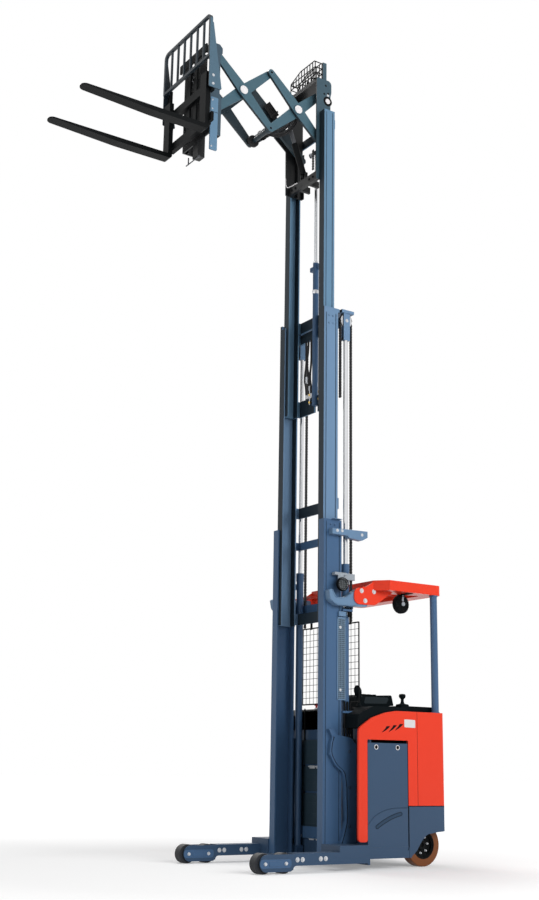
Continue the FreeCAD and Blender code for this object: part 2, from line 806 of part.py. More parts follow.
def rear_outer_arms():
    pieces, holes = [], []
    for side, sign in SIDES:
        pieces.append(scissor_bar(sign, rear_low, "forward", S.outer_arm_in))
        holes.append(pin(sign, rear_hub, S.outer_arm_in - 5, arm_out + 5, running_radius))
    arms = cut(fuse(*pieces), *holes)
    pins = [rod("y", S.arm_pin_radius, (-arm_out, arm_out), top_joint)]
    for side, sign in SIDES:
        pins.append(pin(sign, rear_low, S.outer_arm_in, S.carriage_half_width - S.carriage_plate - 3, 16))
        pins.append(pin(sign, rear_low, roller_in, S.carriage_half_width - S.carriage_plate - 3, S.roller_radius))
    node("rear_outer_arms", arms, *pins)


def front_inner_arms():
    pieces, holes = [], []
    for side, sign in SIDES:
        pieces.append(scissor_bar(sign, front_low, "backward", S.inner_arm_in))
        holes.append(pin(sign, top_joint, S.inner_arm_in - 5, inner_arm_out + 5, running_radius))
    arms = cut(fuse(*pieces), *holes)
    pins = []
    for side, sign in SIDES:
        pins.append(pin(sign, front_hub, S.inner_arm_in, arm_out + 1))
        pins.append(pin(sign, front_hub, arm_out + 1, arm_out + 8, S.disc_radius))
        pins.append(pin(sign, front_low, S.inner_arm_in, frame_web_in - 3, 16))
        pins.append(pin(sign, front_low, roller_in, frame_web_in - 3, S.roller_radius))
    tie_bar = rod("y", 24, (-S.inner_arm_in - 5, S.inner_arm_in + 5),
                  (front_hub_x - arm_run * 0.64, hub_height + arm_rise * 0.64))
    node("front_inner_arms", arms, *pins, tie_bar)


frame_web_in = S.frame_half_width - S.frame_plate - 4


def front_outer_arms():
    pieces, holes = [], []
    for side, sign in SIDES:
        pieces.append(scissor_bar(sign, low_joint, "forward", S.outer_arm_in))
        holes.append(pin(sign, front_hub, S.outer_arm_in - 5, arm_out + 5, running_radius))
        holes.append(pin(sign, front_high, S.outer_arm_in - 5, arm_out + 5, running_radius))
    arms = cut(fuse(*pieces), *holes)
    node("front_outer_arms", arms, rod("y", S.arm_pin_radius, (-arm_out, arm_out), low_joint))


# ---------------------------------------------------------------- reach cylinder
cylinder_foot = (carriage_face - 32, carriage_low + 120)


def reach_cylinder():
    """The cylinder stands between the arms, from the carriage's foot to the rear hub."""
    run = rear_hub[0] - cylinder_foot[0]
    rise = rear_hub[1] - cylinder_foot[1]
    lean = math.degrees(math.atan2(float(run), float(rise)))
    length = math.hypot(float(run), float(rise))
    foot = Vector(float(cylinder_foot[0]), 0, float(cylinder_foot[1]))
    line = Rotation(Vector(0, 1, 0), lean).multVec(Vector(0, 0, 1))
    eye = Part.makeCylinder(26, 28, foot + Vector(0, -14, 0), Vector(0, 1, 0))
    barrel = Part.makeCylinder(30, 300, foot + line * 20, line)
    barrel = barrel.fuse(eye).cut(Part.makeCylinder(18.2, 320, foot + line * 60, line))
    ears = Part.makeCylinder(12, 60, foot + Vector(0, -30, 0), Vector(0, 1, 0))
    stem = Part.makeCylinder(18, length - 245, foot + line * 225, line)
    rod_eye = Part.makeCylinder(30, 28, foot + line * length + Vector(0, -14, 0), Vector(0, 1, 0))
    for name, shape in (("reach_barrel", barrel.fuse(ears)), ("reach_rod", stem.fuse(rod_eye))):
        part = doc.addObject("Part::Feature", unique("cylinder"))
        part.Shape = shape
        node(name, part)


# ---------------------------------------------------------------- fork frame and forks
tilt_pin = (ahead(frame_face_ahead) + 18, frame_high - 75)
ear_in = Size(196)


def fork_frame():
    """Two webs with the rollers' channels, a cross bar at head and foot, and a middle column."""
    pieces = []
    back, face = ahead(frame_back_ahead), ahead(frame_face_ahead)
    channel_face = ahead(front_pin_ahead + channel_half)
    web_out = frame_web_in + S.frame_plate
    waist = back + 20
    for side, sign in SIDES:
        outline = [(back, frame_low), (back, channel_top), (waist, channel_top + 40, 20),
                   (waist, pivot_height - 70, 20), (back, pivot_height - 35, 20),
                   (back, pivot_height + 15, 15), (back + 30, frame_high, 15), (face, frame_high, 20),
                   (face, frame_low)]
        pieces.append(plate("XZ", outline, (sign * frame_web_in, sign * web_out)))
        for edge in (back, channel_face - S.channel_flange):
            pieces.append(box((edge, edge + S.channel_flange), (sign * roller_in, sign * frame_web_in),
                              (frame_low, channel_top)))
        pieces.append(pin(sign, front_high, S.outer_arm_in, frame_web_in))
        pieces.append(box((face - 10, tilt_pin[0] + 16), (sign * ear_in, sign * (ear_in + 12)),
                          (tilt_pin[1] - 25, tilt_pin[1] + 25)))
        pieces.append(box((face - 10, face), (sign * ear_in, sign * (frame_web_in + 2)),
                          (tilt_pin[1] - 25, tilt_pin[1] + 25)))
        pieces.append(pin(sign, tilt_pin, ear_in, ear_in + 29, Size(10)))
    for low, height in ((frame_high - 28, 28), (frame_low, 60)):
        pieces.append(box((face - 12, face), (-web_out, web_out), (low, low + height)))
    pieces.append(box((face - S.cover_depth, face - 2), (Size(-50), Size(40)),
                      (pivot_height - S.column_drop, frame_high - 10)))
    node("fork_frame", *pieces)
    cover = [(face - S.cover_depth, pivot_height - S.cover_drop, 8),
             (face - S.cover_depth, pivot_height - S.cover_head_drop, 8),
             (face, pivot_height - S.cover_head_drop, 8), (face, pivot_height - S.cover_drop, 8)]
    node("frame_cover", plate("XZ", cover, (web_out + S.seat_gap, web_out + 14)))


def tilt_frame():
    back = ahead(tilt_back_ahead)
    pieces = []
    for low, half in ((fork_underside + 75, 330), (fork_underside + 400, 330), (frame_high - 115, 235)):
        pieces.append(box((back, back + tilt_plate), (Size(-half), Size(half)), (low, low + 80)))
    for side, sign in SIDES:
        pieces.append(box((back, back + tilt_plate), (sign * Size(30), sign * Size(85)),
                          (fork_underside + 75, frame_high - 35)))
        lug = box((tilt_pin[0] - 13, back + 2), (sign * (ear_in + 16), sign * (ear_in + 28)),
                  (tilt_pin[1] - 22, tilt_pin[1] + 22))
        pieces.append(cut(lug, pin(sign, tilt_pin, ear_in, ear_in + 40, Size(10.1))))
    node("tilt_frame", *pieces)


def fork_carriage():
    """The two bars the forks hang on, and the side plates the backrest is bolted to."""
    back = ahead(fork_bar_back_ahead)
    pieces = []
    half = S.backrest_half_width - 12
    for low in (fork_underside + 75, fork_underside + 400):
        pieces.append(box((back, back + fork_bar_plate), (-half, half), (low, low + 80)))
    for side, sign in SIDES:
        pieces.append(box((back, back + fork_bar_plate), (sign * (half - 50), sign * half),
                          (fork_underside + 360, backrest_low + 40)))
    node("fork_carriage", *pieces)


def backrest():
    face = ahead(shank_face_ahead)
    back = face - S.backrest_bar
    half, bar = S.backrest_half_width, S.backrest_bar
    outer = [(-half, backrest_low), (-half, backrest_top, 60), (half, backrest_top, 60), (half, backrest_low)]
    inner = [(-half + bar, backrest_low + bar), (-half + bar, backrest_top - bar, 38),
             (half - bar, backrest_top - bar, 38), (half - bar, backrest_low + bar)]
    pieces = [plate("YZ", outer, (back, face), holes=[inner])]
    bars = 6
    pitch = (2 * half - bar) / (bars + 1)
    for i in range(1, bars + 1):
        middle = -half + bar / 2 + pitch * i
        pieces.append(box((back + 5, face - 5), (middle - 9, middle + 9), (backrest_low + 2, backrest_top - 2)))
    for side, sign in SIDES:
        pieces.append(box((ahead(fork_bar_back_ahead + fork_bar_plate), back),
                          (sign * (half - 60), sign * (half - 12)), (backrest_low, backrest_low + bar)))
        foot = pivot_height - S.backrest_cheek_drop
        cheek = [(face - S.backrest_cheek_depth, foot, 12), (face - bar - 8, backrest_top - 90),
                 (face - 4, backrest_top - 90), (face - 4, foot, 12)]
        pieces.append(plate("XZ", cheek, (sign * (half - 10), sign * half)))
    node("load_backrest", *pieces)


def forks():
    back, face = ahead(shank_back_ahead), ahead(shank_face_ahead)
    tip = ahead(tip_ahead)
    half = S.fork_width / 2
    low, top = fork_underside, fork_underside + 545
    pieces = []
    for side, sign in SIDES:
        side_view = [(back + S.seat_gap, low, 30), (back + S.seat_gap, top), (face, top),
                     (face, low + S.fork_thickness, 14), (tip, low + S.fork_thickness, 5),
                     (tip, low + S.fork_thickness - 12, 5), (tip - 650, low, 400)]
        across = (sign * S.fork_half_spacing - half, sign * S.fork_half_spacing + half)
        plan = [(back, across[0]), (back, across[1]), (tip, across[1], half - 3), (tip, across[0], half - 3)]
        pieces.append(shared(plate("XZ", side_view, across), plate("XY", plan, (low - 5, top + 5))))
    node("forks", *pieces)


# ---------------------------------------------------------------- tractor body
wheel_x = behind(S.drive_axle)
body_back = behind(S.body_rear)
wall_in = S.body_half_width - S.skin
bay_front = rear_tie_x - S.tie_plate - 10
bay_back = behind(S.cabin_front)
cabin_side = Size(120)
bridge_low = 2 * S.drive_wheel_radius + 42.5
bridge_high = bridge_low + 14


def chassis_frame():
    """The welded frame behind the mast: foot beam, battery floor, bay walls and drive bridge."""
    half = S.body_half_width - 20
    bay_top = S.recess_top + 80
    base = S.body_low
    pieces = [box((rear_tie_x, cylinder_x + S.cylinder_radius + 8), (-S.mast_half_width, S.mast_half_width),
                  (S.mast_foot - 40, S.mast_foot - 20)),
              box((bay_front, rear_tie_x), (-half, half), (S.mast_foot - 40, S.leg_foot_high)),
              box((bay_back, bay_front), (-half, half), (base, base + 40)),
              box((bay_front - S.frame_wall, bay_front), (-half, half), (base, bay_top)),
              box((bay_back - S.frame_wall, bay_back), (-half, half), (base, bay_top)),
              box((bay_back - S.frame_wall, bay_front), (-half, half), (bay_top, bay_top + 8))]
    room_back = body_back + S.skin + 6
    wall_high = S.cowl_top - S.seat_gap
    left_wall = (cabin_side - 18, cabin_side - 6)
    right_wall = (-S.body_half_width + 110, -S.body_half_width + 122)
    for side, sign in SIDES:
        pieces.append(box((behind(S.leg_rear), rear_tie_x), (sign * leg_in, sign * half),
                          (S.leg_bar_low, S.leg_foot_high)))
        pieces.append(box((behind(S.recess_rear + 3), behind(S.recess_front + 5)),
                          (sign * (half - 5), sign * (S.body_half_width - 2)), (base, S.strip_low - 42)))
    pieces.append(box((room_back + 36, bay_back), (left_wall[0], half), (bridge_low, bridge_high)))
    pieces.append(box((room_back, bay_back), left_wall, (S.floor_height - 10, wall_high)))
    pieces.append(box((room_back, bay_back), right_wall, (S.floor_height - 10, wall_high - 80)))
    pieces.append(box((room_back, bay_back), (right_wall[0], left_wall[1]), (S.floor_height - 10, S.floor_height)))
    node("chassis_frame", *pieces)


def mast_gussets():
    pieces = []
    for side, sign in SIDES:
        outline = [(behind(734), Size(1073)), (behind(771), Size(1014)), (behind(752), Size(968)),
                   (behind(743), Size(879)), (behind(800), Size(791)), (behind(877), Size(740)),
                   (behind(896), Size(643)), (behind(906), Size(364)), (behind(877), Size(263)),
                   (behind(849), S.leg_foot_high), (behind(1011), S.leg_foot_high), (behind(1011), Size(960)),
                   (behind(960), Size(1010)), (behind(820), Size(1030)), (behind(780), Size(1073))]
        pieces.append(plate("XZ", outline, (sign * (S.mast_half_width + S.seat_gap), sign * (S.mast_half_width + 28))))
    node("mast_gussets", *pieces)


def battery():
    half = S.body_half_width - 30
    node("battery_block", box((bay_back + 8, bay_front - S.frame_wall - 8), (-half, half),
                              (S.body_low + 40 + S.seat_gap, S.recess_top - 120)))


def battery_gates():
    pieces = []
    low = S.strip_low - 42 + S.seat_gap
    for side, sign in SIDES:
        outline = [(behind(S.recess_front + 5), low), (behind(S.recess_front + 5), S.door_top, 6),
                   (behind(S.recess_rear - 5), S.door_top, 6), (behind(S.recess_rear - 5), low)]
        rings = [((behind(1078), Size(939)), Size(12)), ((behind(1299), Size(939)), Size(12))]
        pieces.append(plate("XZ", outline, (sign * (S.body_half_width - 9), sign * (S.body_half_width - 3)), rings))
    node("battery_gates", *pieces)


def side_cowls():
    panels = []
    for side, sign in SIDES:
        top = S.cowl_top
        outline = [(behind(S.body_front), S.strip_low, 30), (behind(S.body_front + 4), Size(1083), 60),
                   (behind(1034), Size(1170), 200), (behind(1169), Size(1213), 300), (behind(1284), top, 300),
                   (behind(S.cowl_seam - 1), top), (behind(S.cowl_seam - 1), S.split_height),
                   (behind(S.recess_rear), S.split_height), (behind(S.recess_rear), S.recess_top, 8),
                   (behind(S.recess_front), S.recess_top, 8), (behind(S.recess_front), S.strip_low, 20)]
        panel = plate("XZ", outline, (sign * (S.body_half_width - 20 + S.seat_gap), sign * S.body_half_width))
        t = S.skin
        hollow = [(behind(S.body_front) - t, S.strip_low + t, 26), (behind(S.body_front + 4) - t, Size(1083), 56),
                  (behind(1034), 1170 - t, 196), (behind(1169), 1213 - t, 296), (behind(1284), top - t, 296),
                  (behind(S.cowl_seam - 1) + t, top - t), (behind(S.cowl_seam - 1) + t, S.split_height + t),
                  (behind(S.recess_rear) - t, S.split_height + t), (behind(S.recess_rear) - t, S.recess_top + t, 12),
                  (behind(S.recess_front) + t, S.recess_top + t, 12), (behind(S.recess_front) + t, S.strip_low + t, 16)]
        inside = plate("XZ", hollow, (sign * (S.body_half_width - 70), sign * (S.body_half_width - t)))
        panels.append(cut(panel, inside))
    node("side_cowls", *panels)


def rear_plan(front, inner, sign, inset):
    """The body's rear corner seen from above, drawn in from its outer face by the inset."""
    out = S.body_half_width - inset
    return [(front, sign * inner), (front, sign * out), (behind(S.body_side_rear - inset), sign * out, 24),
            (body_back + inset, sign * (out - 70), 40), (body_back + inset, sign * inner)]


def rear_inner(sign):
    return cabin_side if sign == 1 else S.body_half_width - 110


def rear_cowls():
    shells = []
    front = behind(S.cowl_seam + 1)
    for side, sign in SIDES:
        inner = rear_inner(sign)
        shell = plate("XY", rear_plan(front, inner, sign, 0), (S.split_height, S.cowl_top))
        inside = plate("XY", rear_plan(front + 5, inner - 5, sign, S.skin), (S.split_height - 5, S.cowl_top - S.skin))
        shells.append(cut(shell, inside))
    node("rear_cowls", *shells)


def side_skirts():
    shells = []
    front = behind(S.recess_rear + 5)
    for side, sign in SIDES:
        inner = rear_inner(sign)
        shell = plate("XY", rear_plan(front, inner, sign, 0), (S.body_low, S.split_height - S.seat_gap))
        inside = plate("XY", rear_plan(front + 5, inner - 5, sign, S.skin), (S.body_low - 5, S.split_height + 5))
        arch = [(behind(1430), Size(40)), (behind(1430), S.body_low + 7, 40), (behind(1485), Size(132), 60),
                (behind(1545), Size(214), 80), (behind(1600), Size(260), 80), (behind(1720), Size(276), 200),
                (body_back - 10, S.skirt_low), (body_back - 10, Size(40))]
        opening = plate("XZ", arch, (sign * (inner - 5), sign * (S.body_half_width + 5)))
        shells.append(cut(shell, inside, opening))
    node("side_skirts", *shells)


deck_top = S.deck_height


def top_deck():
    """The dark top of the body, from the mast to the operator, between the two side cowls."""
    half = S.body_half_width - 22
    wing_in = S.mast_half_width - 8
    front, rear, low = behind(S.body_front + 8), behind(S.cabin_front), S.recess_top + 90
    outline = [(front, low), (front - 12, Size(1190), 30), (behind(1060), deck_top, 120), (rear, deck_top, 20),
               (rear, low)]
    hollow = [(front - 6, low - 5), (front - 18, Size(1186), 26), (behind(1060), deck_top - 6, 116),
              (rear + 6, deck_top - 6, 14), (rear + 6, low - 5)]
    deck = cut(plate("XZ", outline, (-half, half)), plate("XZ", hollow, (-half + 6, half - 6)),
               box((bay_front, front + 20), (-wing_in, wing_in), (low - 10, deck_top + 10)))
    side_top = box((body_back + 20, rear - 2), (cabin_side, S.body_half_width - 106),
                   (S.cowl_top + S.seat_gap, S.cowl_top + 50))
    node("top_deck", deck, side_top)


def controls():
    low = deck_top + S.seat_gap
    front, rear, top = behind(S.dash_front), behind(S.dash_rear), S.dash_top
    deck_rear = behind(S.cabin_front)
    dash = [(front, low), (front - 26, top - 16, 18), (rear + 22, top, 18), (rear, low + 23, 8), (deck_rear, low + 23),
            (deck_rear, low)]
    node("dashboard", plate("XZ", dash, (Size(-160), Size(330))))
    knob_spot = (behind(S.knob_setback), Size(395))
    top = S.cowl_top + 50
    node("tiller_knob", rod("z", 56, (top + S.seat_gap, top + 16), knob_spot), rod("z", 9, (top + 10, top + 78), knob_spot),
         rod("z", 22, (top + 74, top + 104), knob_spot))
    stick_spot = (behind(S.stick_setback), Size(368))
    node("control_handle", rod("z", 26, (low, low + 16), stick_spot), rod("z", 11, (low + 10, low + 90), stick_spot),
         rod("z", 21, (low + 84, low + 160), stick_spot))
    button_spot = (behind(1100), Size(-272))
    node("stop_button", rod("z", 10, (low, low + 38), button_spot), rod("z", 20, (low + 28, low + 50), button_spot))


def operator_room():
    node("floor_mat", box((body_back + 30, bay_back - 20), (-S.body_half_width + 132, cabin_side - 28),
                          (S.floor_height + S.seat_gap, S.floor_height + 14)))
    node("back_pad", box((body_back + 70, bay_back - 110), (-S.body_half_width + 122 + S.seat_gap, -S.body_half_width + 180),
                         (Size(760), Size(1120))))


def operator_guard():
    """The red roof over the operator: a flared frame with bars, and two lobes that bolt to the mast."""
    low, high, t = S.guard_low, S.guard_high, S.guard_plate
    pieces = []
    front_half, rear_half = S.guard_front_half_width, S.guard_half_width
    front, wide, rear = behind(S.guard_flare), behind(S.guard_flare + 90), behind(S.guard_rear)
    roof = [(front, -front_half), (wide, -rear_half), (rear, -rear_half, 40), (rear, rear_half, 40),
            (wide, rear_half), (front, front_half)]
    inside = [(front - 70, -front_half + 120), (rear + 130, -rear_half + 130, 30), (rear + 130, rear_half - 130, 30),
              (front - 70, front_half - 120)]
    pieces.append(plate("XY", roof, (low + 10, high), holes=[inside]))
    bars = 5
    front_bar = behind(S.guard_front + 90)
    for i in range(1, bars + 1):
        middle = Size(2 * float(i) / (bars + 1) - 1) * (front_half - 130)
        pieces.append(box((rear + 120, front - 60), (middle - 12, middle + 12), (low + 40, high - 15)))
        pieces.append(box((front - 20, front_bar - 10), (middle - 10, middle + 10), (low + 12, low + 32)))
    pieces.append(box((front_bar - 24, front_bar), (-front_half + 2, front_half - 2), (low + 9, low + 34)))
    for side, sign in SIDES:
        cheek = [(behind(S.guard_front), S.lobe_low, 55), (behind(S.guard_front), S.lobe_low + 136, 55),
                 (behind(S.guard_front + 110), S.lobe_low + 145, 90), (front - 20, high, 60),
                 (behind(S.lobe_tail), high), (behind(S.lobe_tail), low + 10), (behind(S.lobe_rear), S.lobe_low + 5, 60)]
        pieces.append(plate("XZ", cheek, (sign * (front_half - t), sign * front_half)))
    node("operator_guard", *pieces)
    posts, brackets = [], []
    for side, sign in SIDES:
        left = side == "left"
        setback = S.post_setback if left else S.right_post_setback
        foot = S.cowl_top if left else S.deck_height
        spot = (behind(setback), sign * (rear_half - S.post_radius - 4))
        posts.append(rod("z", S.post_radius, (foot + S.seat_gap, low + 10 - S.seat_gap), spot))
        arm_outline = [(behind(706), Size(2200), 20), (behind(722), Size(2112), 40), (behind(800), Size(2072), 40),
                       (behind(1110), Size(2082), 20), (behind(1110), Size(2214), 20), (behind(1000), Size(2222)),
                       (behind(880), Size(2146), 30), (behind(780), Size(2136), 20), (behind(745), Size(2200), 10)]
        brackets.append(plate("XZ", arm_outline,
                              (sign * (S.mast_half_width + S.seat_gap), sign * (front_half - t - S.seat_gap))))
    node("guard_posts", *posts)
    node("guard_brackets", *brackets)
    operator_fan()


def operator_fan():
    """The round fan that hangs under the guard's left beam."""
    middle, half = Size(395), S.fan_depth / 2
    profile = [(-half, Size(0)), (-half, S.fan_radius - 14), (-half + 12, S.fan_radius), (half - 12, S.fan_radius),
               (half, S.fan_radius - 14), (half, Size(30)), (half + 8, Size(24)), (half + 8, Size(0))]
    spot = (behind(S.fan_setback), middle, S.fan_height)
    hanger = box((behind(S.fan_setback + 15), behind(S.fan_setback - 15)), (middle - 34, middle - 26),
                 (S.fan_height - 20, S.guard_low + 10 - S.seat_gap))
    foot = box((behind(S.fan_setback + 30), behind(S.fan_setback - 30)), (middle + 42, middle + 130),
               (S.guard_low + 4, S.guard_low + 10 - S.seat_gap))
    arm = box((behind(S.fan_setback + 15), behind(S.fan_setback - 15)), (middle - 34, middle + 60),
              (S.guard_low + 2, S.guard_low + 10 - S.seat_gap))
    node("operator_fan", turned("y", profile, spot), hanger, arm, foot)


def mast_fittings():
    shelf = [(behind(750), Size(2668)), (behind(750), Size(2716)), (behind(1120), Size(2726)), (behind(1120), Size(2672)),
             (behind(1060), Size(2640), 30), (behind(930), Size(2650), 20), (behind(905), Size(2668))]
    out = S.mast_half_width
    node("cable_shelf", plate("XZ", shelf, (out + S.seat_gap, out + 52)),
         box((behind(862), behind(778)), (out - 30, out + 40), (outer_top + S.seat_gap, outer_top + 4)))
    covers = []
    for side, sign in SIDES:
        covers.append(box((behind(S.mast_setback) - S.mast_depth - S.seat_gap - 40, mast_back - S.seat_gap),
                          (sign * (out - 60), sign * (out - 12)), (Size(1310), Size(2030))))
    node("hose_covers", covers[0])
    node("rear_screen", *screen())
    lamps = []
    for side, sign in SIDES:
        rim = S.lamp_radius
        bowl = [(Size(-26), Size(0)), (Size(-26), rim - 24, 10), (Size(6), rim, 10), (Size(22), rim), (Size(22), rim - 7),
                (Size(15), rim - 9), (Size(15), Size(0))]
        if sign < 0:
            bowl = [(-corner[0], *corner[1:]) for corner in reversed(bowl)]
        lamps.append(turned("y", bowl, (behind(S.lamp_setback), sign * (out + 52), S.lamp_height)))
        lamps.append(box((behind(S.lamp_setback + 11), behind(S.lamp_setback - 11)),
                         (sign * (out + S.seat_gap), sign * (out + 40)), (S.lamp_height - 12, S.lamp_height + 12)))
    node("work_lamps", *lamps)


def screen():
    """A wire screen between the mast and the operator: a frame and its crossing wires."""
    x = behind(1045)
    half, low, high = Size(405), Size(1300), Size(1955)
    wires = []
    for side, sign in SIDES:
        wires.append(rod("z", 6, (low, high), (x, sign * half)))
    for height in (low, high):
        wires.append(rod("y", 6, (-half, half), (x, height)))
    count = 15
    for i in range(1, count):
        wires.append(rod("z", 2.2, (low, high), (x, -half + 2 * half * i / count)))
    for side, sign in SIDES:
        strap_y = sign * half * 0.7
        wires.append(box((x - 6, x - 2), (strap_y - 15, strap_y + 15), (high - 10, Size(2130))))
        wires.append(box((x - 6, rear_tie_x - S.seat_gap), (strap_y - 15, strap_y + 15), (Size(2120), Size(2130))))
    rows = 12
    for i in range(1, rows):
        wires.append(rod("y", 2.2, (-half, half), (x, low + (high - low) * i / rows)))
    return wires


# ---------------------------------------------------------------- drive and caster wheels
def drive_unit():
    face = S.drive_wheel_face
    centre_y = face - S.drive_wheel_width / 2
    kingpin_y = centre_y - S.kingpin_offset
    radius = S.drive_wheel_radius
    half = S.drive_wheel_width / 2
    rim = S.drive_rim_radius
    tyre = [(-half, rim), (-half, radius, 9), (half, radius, 9), (half, rim)]
    node("drive_wheel", turned("y", tyre, (wheel_x, centre_y, radius)))
    hub = [(-half + 6, 20), (-half + 6, rim - S.seat_gap), (half - 3, rim - S.seat_gap, 3), (half - 3, rim - 12, 3),
           (half - 32, rim - 24, 12), (half - 32, 44, 6), (half - 18, 38, 4), (half - 18, 20)]
    node("drive_hub", turned("y", hub, (wheel_x, centre_y, radius)))
    inner = centre_y - half - S.running_gap
    top = 2 * radius + 12
    node("drive_yoke",
         box((wheel_x - 80, wheel_x + 80), (inner - 60, inner), (radius - 60, top)),
         rod("y", 19.9, (inner - 10, centre_y + half - 28), (wheel_x, radius)),
         rod("z", 85, (top, top + 30), (wheel_x, kingpin_y)))
    node("drive_motor", rod("z", 80, (bridge_high + S.seat_gap, 2 * radius + 400), (wheel_x, kingpin_y)))


def caster():
    spot_y = -S.body_half_width + 150
    swivel_x = wheel_x + 20
    axle = swivel_x - 40
    high = 2 * S.caster_radius + 12
    half = S.caster_width / 2
    profile = [(-half, 12), (-half, S.caster_radius, 8), (half, S.caster_radius, 8), (half, 12)]
    node("caster_wheel", turned("y", profile, (axle, spot_y, S.caster_radius)))
    cheeks = []
    for side, sign in SIDES:
        edge = spot_y + sign * (half + 3)
        cheeks.append(plate("XZ", [(axle - 24, S.caster_radius - 24, 20), (axle - 24, high), (swivel_x + 40, high),
                                   (swivel_x + 40, high - 30), (axle + 24, S.caster_radius - 24, 20)],
                            (edge, edge + sign * 8)))
    node("caster_fork", *cheeks, box((axle - 24, swivel_x + 40), (spot_y - half - 11, spot_y + half + 11), (high, high + 10)),
         rod("y", 11.9, (spot_y - half - 11, spot_y + half + 11), (axle, S.caster_radius)),
         rod("z", 40, (high + 10, S.floor_height - 10 - S.seat_gap), (swivel_x, spot_y)))


# ---------------------------------------------------------------- build, check and write
straddle_legs()
load_wheels()
outer_mast()
lift_barrels()
middle_mast()
lift_rods()
chain_sheaves()
lift_chains()
inner_mast()
free_lift_cylinder()
lift_carriage()
carriage_guard()
rear_inner_arms()
rear_outer_arms()
front_inner_arms()
front_outer_arms()
reach_cylinder()
fork_frame()
tilt_frame()
fork_carriage()
backrest()
forks()
chassis_frame()
mast_gussets()
battery()
battery_gates()
side_cowls()
rear_cowls()
side_skirts()
top_deck()
controls()
operator_room()
operator_guard()
mast_fittings()
drive_unit()
caster()

doc.recompute()
for thing in doc.Objects:
    if "Invalid" in thing.State or "Error" in thing.State:
        raise RuntimeError(f"{thing.Name} ({thing.Label}) failed: {thing.State}")
os.makedirs("parts", exist_ok=True)
for name, part in nodes.items():
    if part.Shape.isNull() or not part.Shape.isValid():
        raise RuntimeError(f"{name} has no valid shape")
    part.Shape.exportStep(f"parts/{name}.step")
    print(name, len(part.Shape.Solids), round(part.Shape.Volume / 1e6, 1))
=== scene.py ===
import json
import math

import bpy
import numpy as np
from mathutils import Matrix, Vector


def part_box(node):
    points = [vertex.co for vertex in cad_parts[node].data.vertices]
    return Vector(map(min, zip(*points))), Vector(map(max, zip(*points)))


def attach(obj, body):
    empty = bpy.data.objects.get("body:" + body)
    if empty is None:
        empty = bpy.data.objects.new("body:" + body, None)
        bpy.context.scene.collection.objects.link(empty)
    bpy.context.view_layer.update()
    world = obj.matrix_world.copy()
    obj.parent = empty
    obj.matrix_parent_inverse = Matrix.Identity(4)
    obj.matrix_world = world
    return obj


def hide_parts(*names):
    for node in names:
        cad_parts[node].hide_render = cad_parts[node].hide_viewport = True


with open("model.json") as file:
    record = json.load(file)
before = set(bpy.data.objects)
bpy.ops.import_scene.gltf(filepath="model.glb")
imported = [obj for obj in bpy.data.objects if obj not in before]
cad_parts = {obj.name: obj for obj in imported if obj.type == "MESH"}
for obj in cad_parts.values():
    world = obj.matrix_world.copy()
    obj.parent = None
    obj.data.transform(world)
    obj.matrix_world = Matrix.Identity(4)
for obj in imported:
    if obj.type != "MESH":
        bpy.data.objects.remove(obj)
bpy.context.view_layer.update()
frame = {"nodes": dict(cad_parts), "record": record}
node = frame["nodes"]


# ---------------------------------------------------------------- room
# A plain pale studio floor under the truck, a white surround and five large soft lamps.
# The floor keeps the truck's shadow and is white to the eye and in reflections.
def new_material(name):
    """An empty node material with its output, as (material, nodes, links, output node)."""
    material = bpy.data.materials.new(name)
    material.use_nodes = True
    nodes, links = material.node_tree.nodes, material.node_tree.links
    nodes.clear()
    return material, nodes, links, nodes.new("ShaderNodeOutputMaterial")


def white_to_the_eye(nodes, links):
    """One for camera, glossy and transmission rays, else nought: the largest of three Light Path flags."""
    path = nodes.new("ShaderNodeLightPath")
    first = nodes.new("ShaderNodeMath")
    first.operation = "MAXIMUM"
    second = nodes.new("ShaderNodeMath")
    second.operation = "MAXIMUM"
    links.new(path.outputs["Is Camera Ray"], first.inputs[0])
    links.new(path.outputs["Is Glossy Ray"], first.inputs[1])
    links.new(first.outputs[0], second.inputs[0])
    links.new(path.outputs["Is Transmission Ray"], second.inputs[1])
    return second.outputs[0]


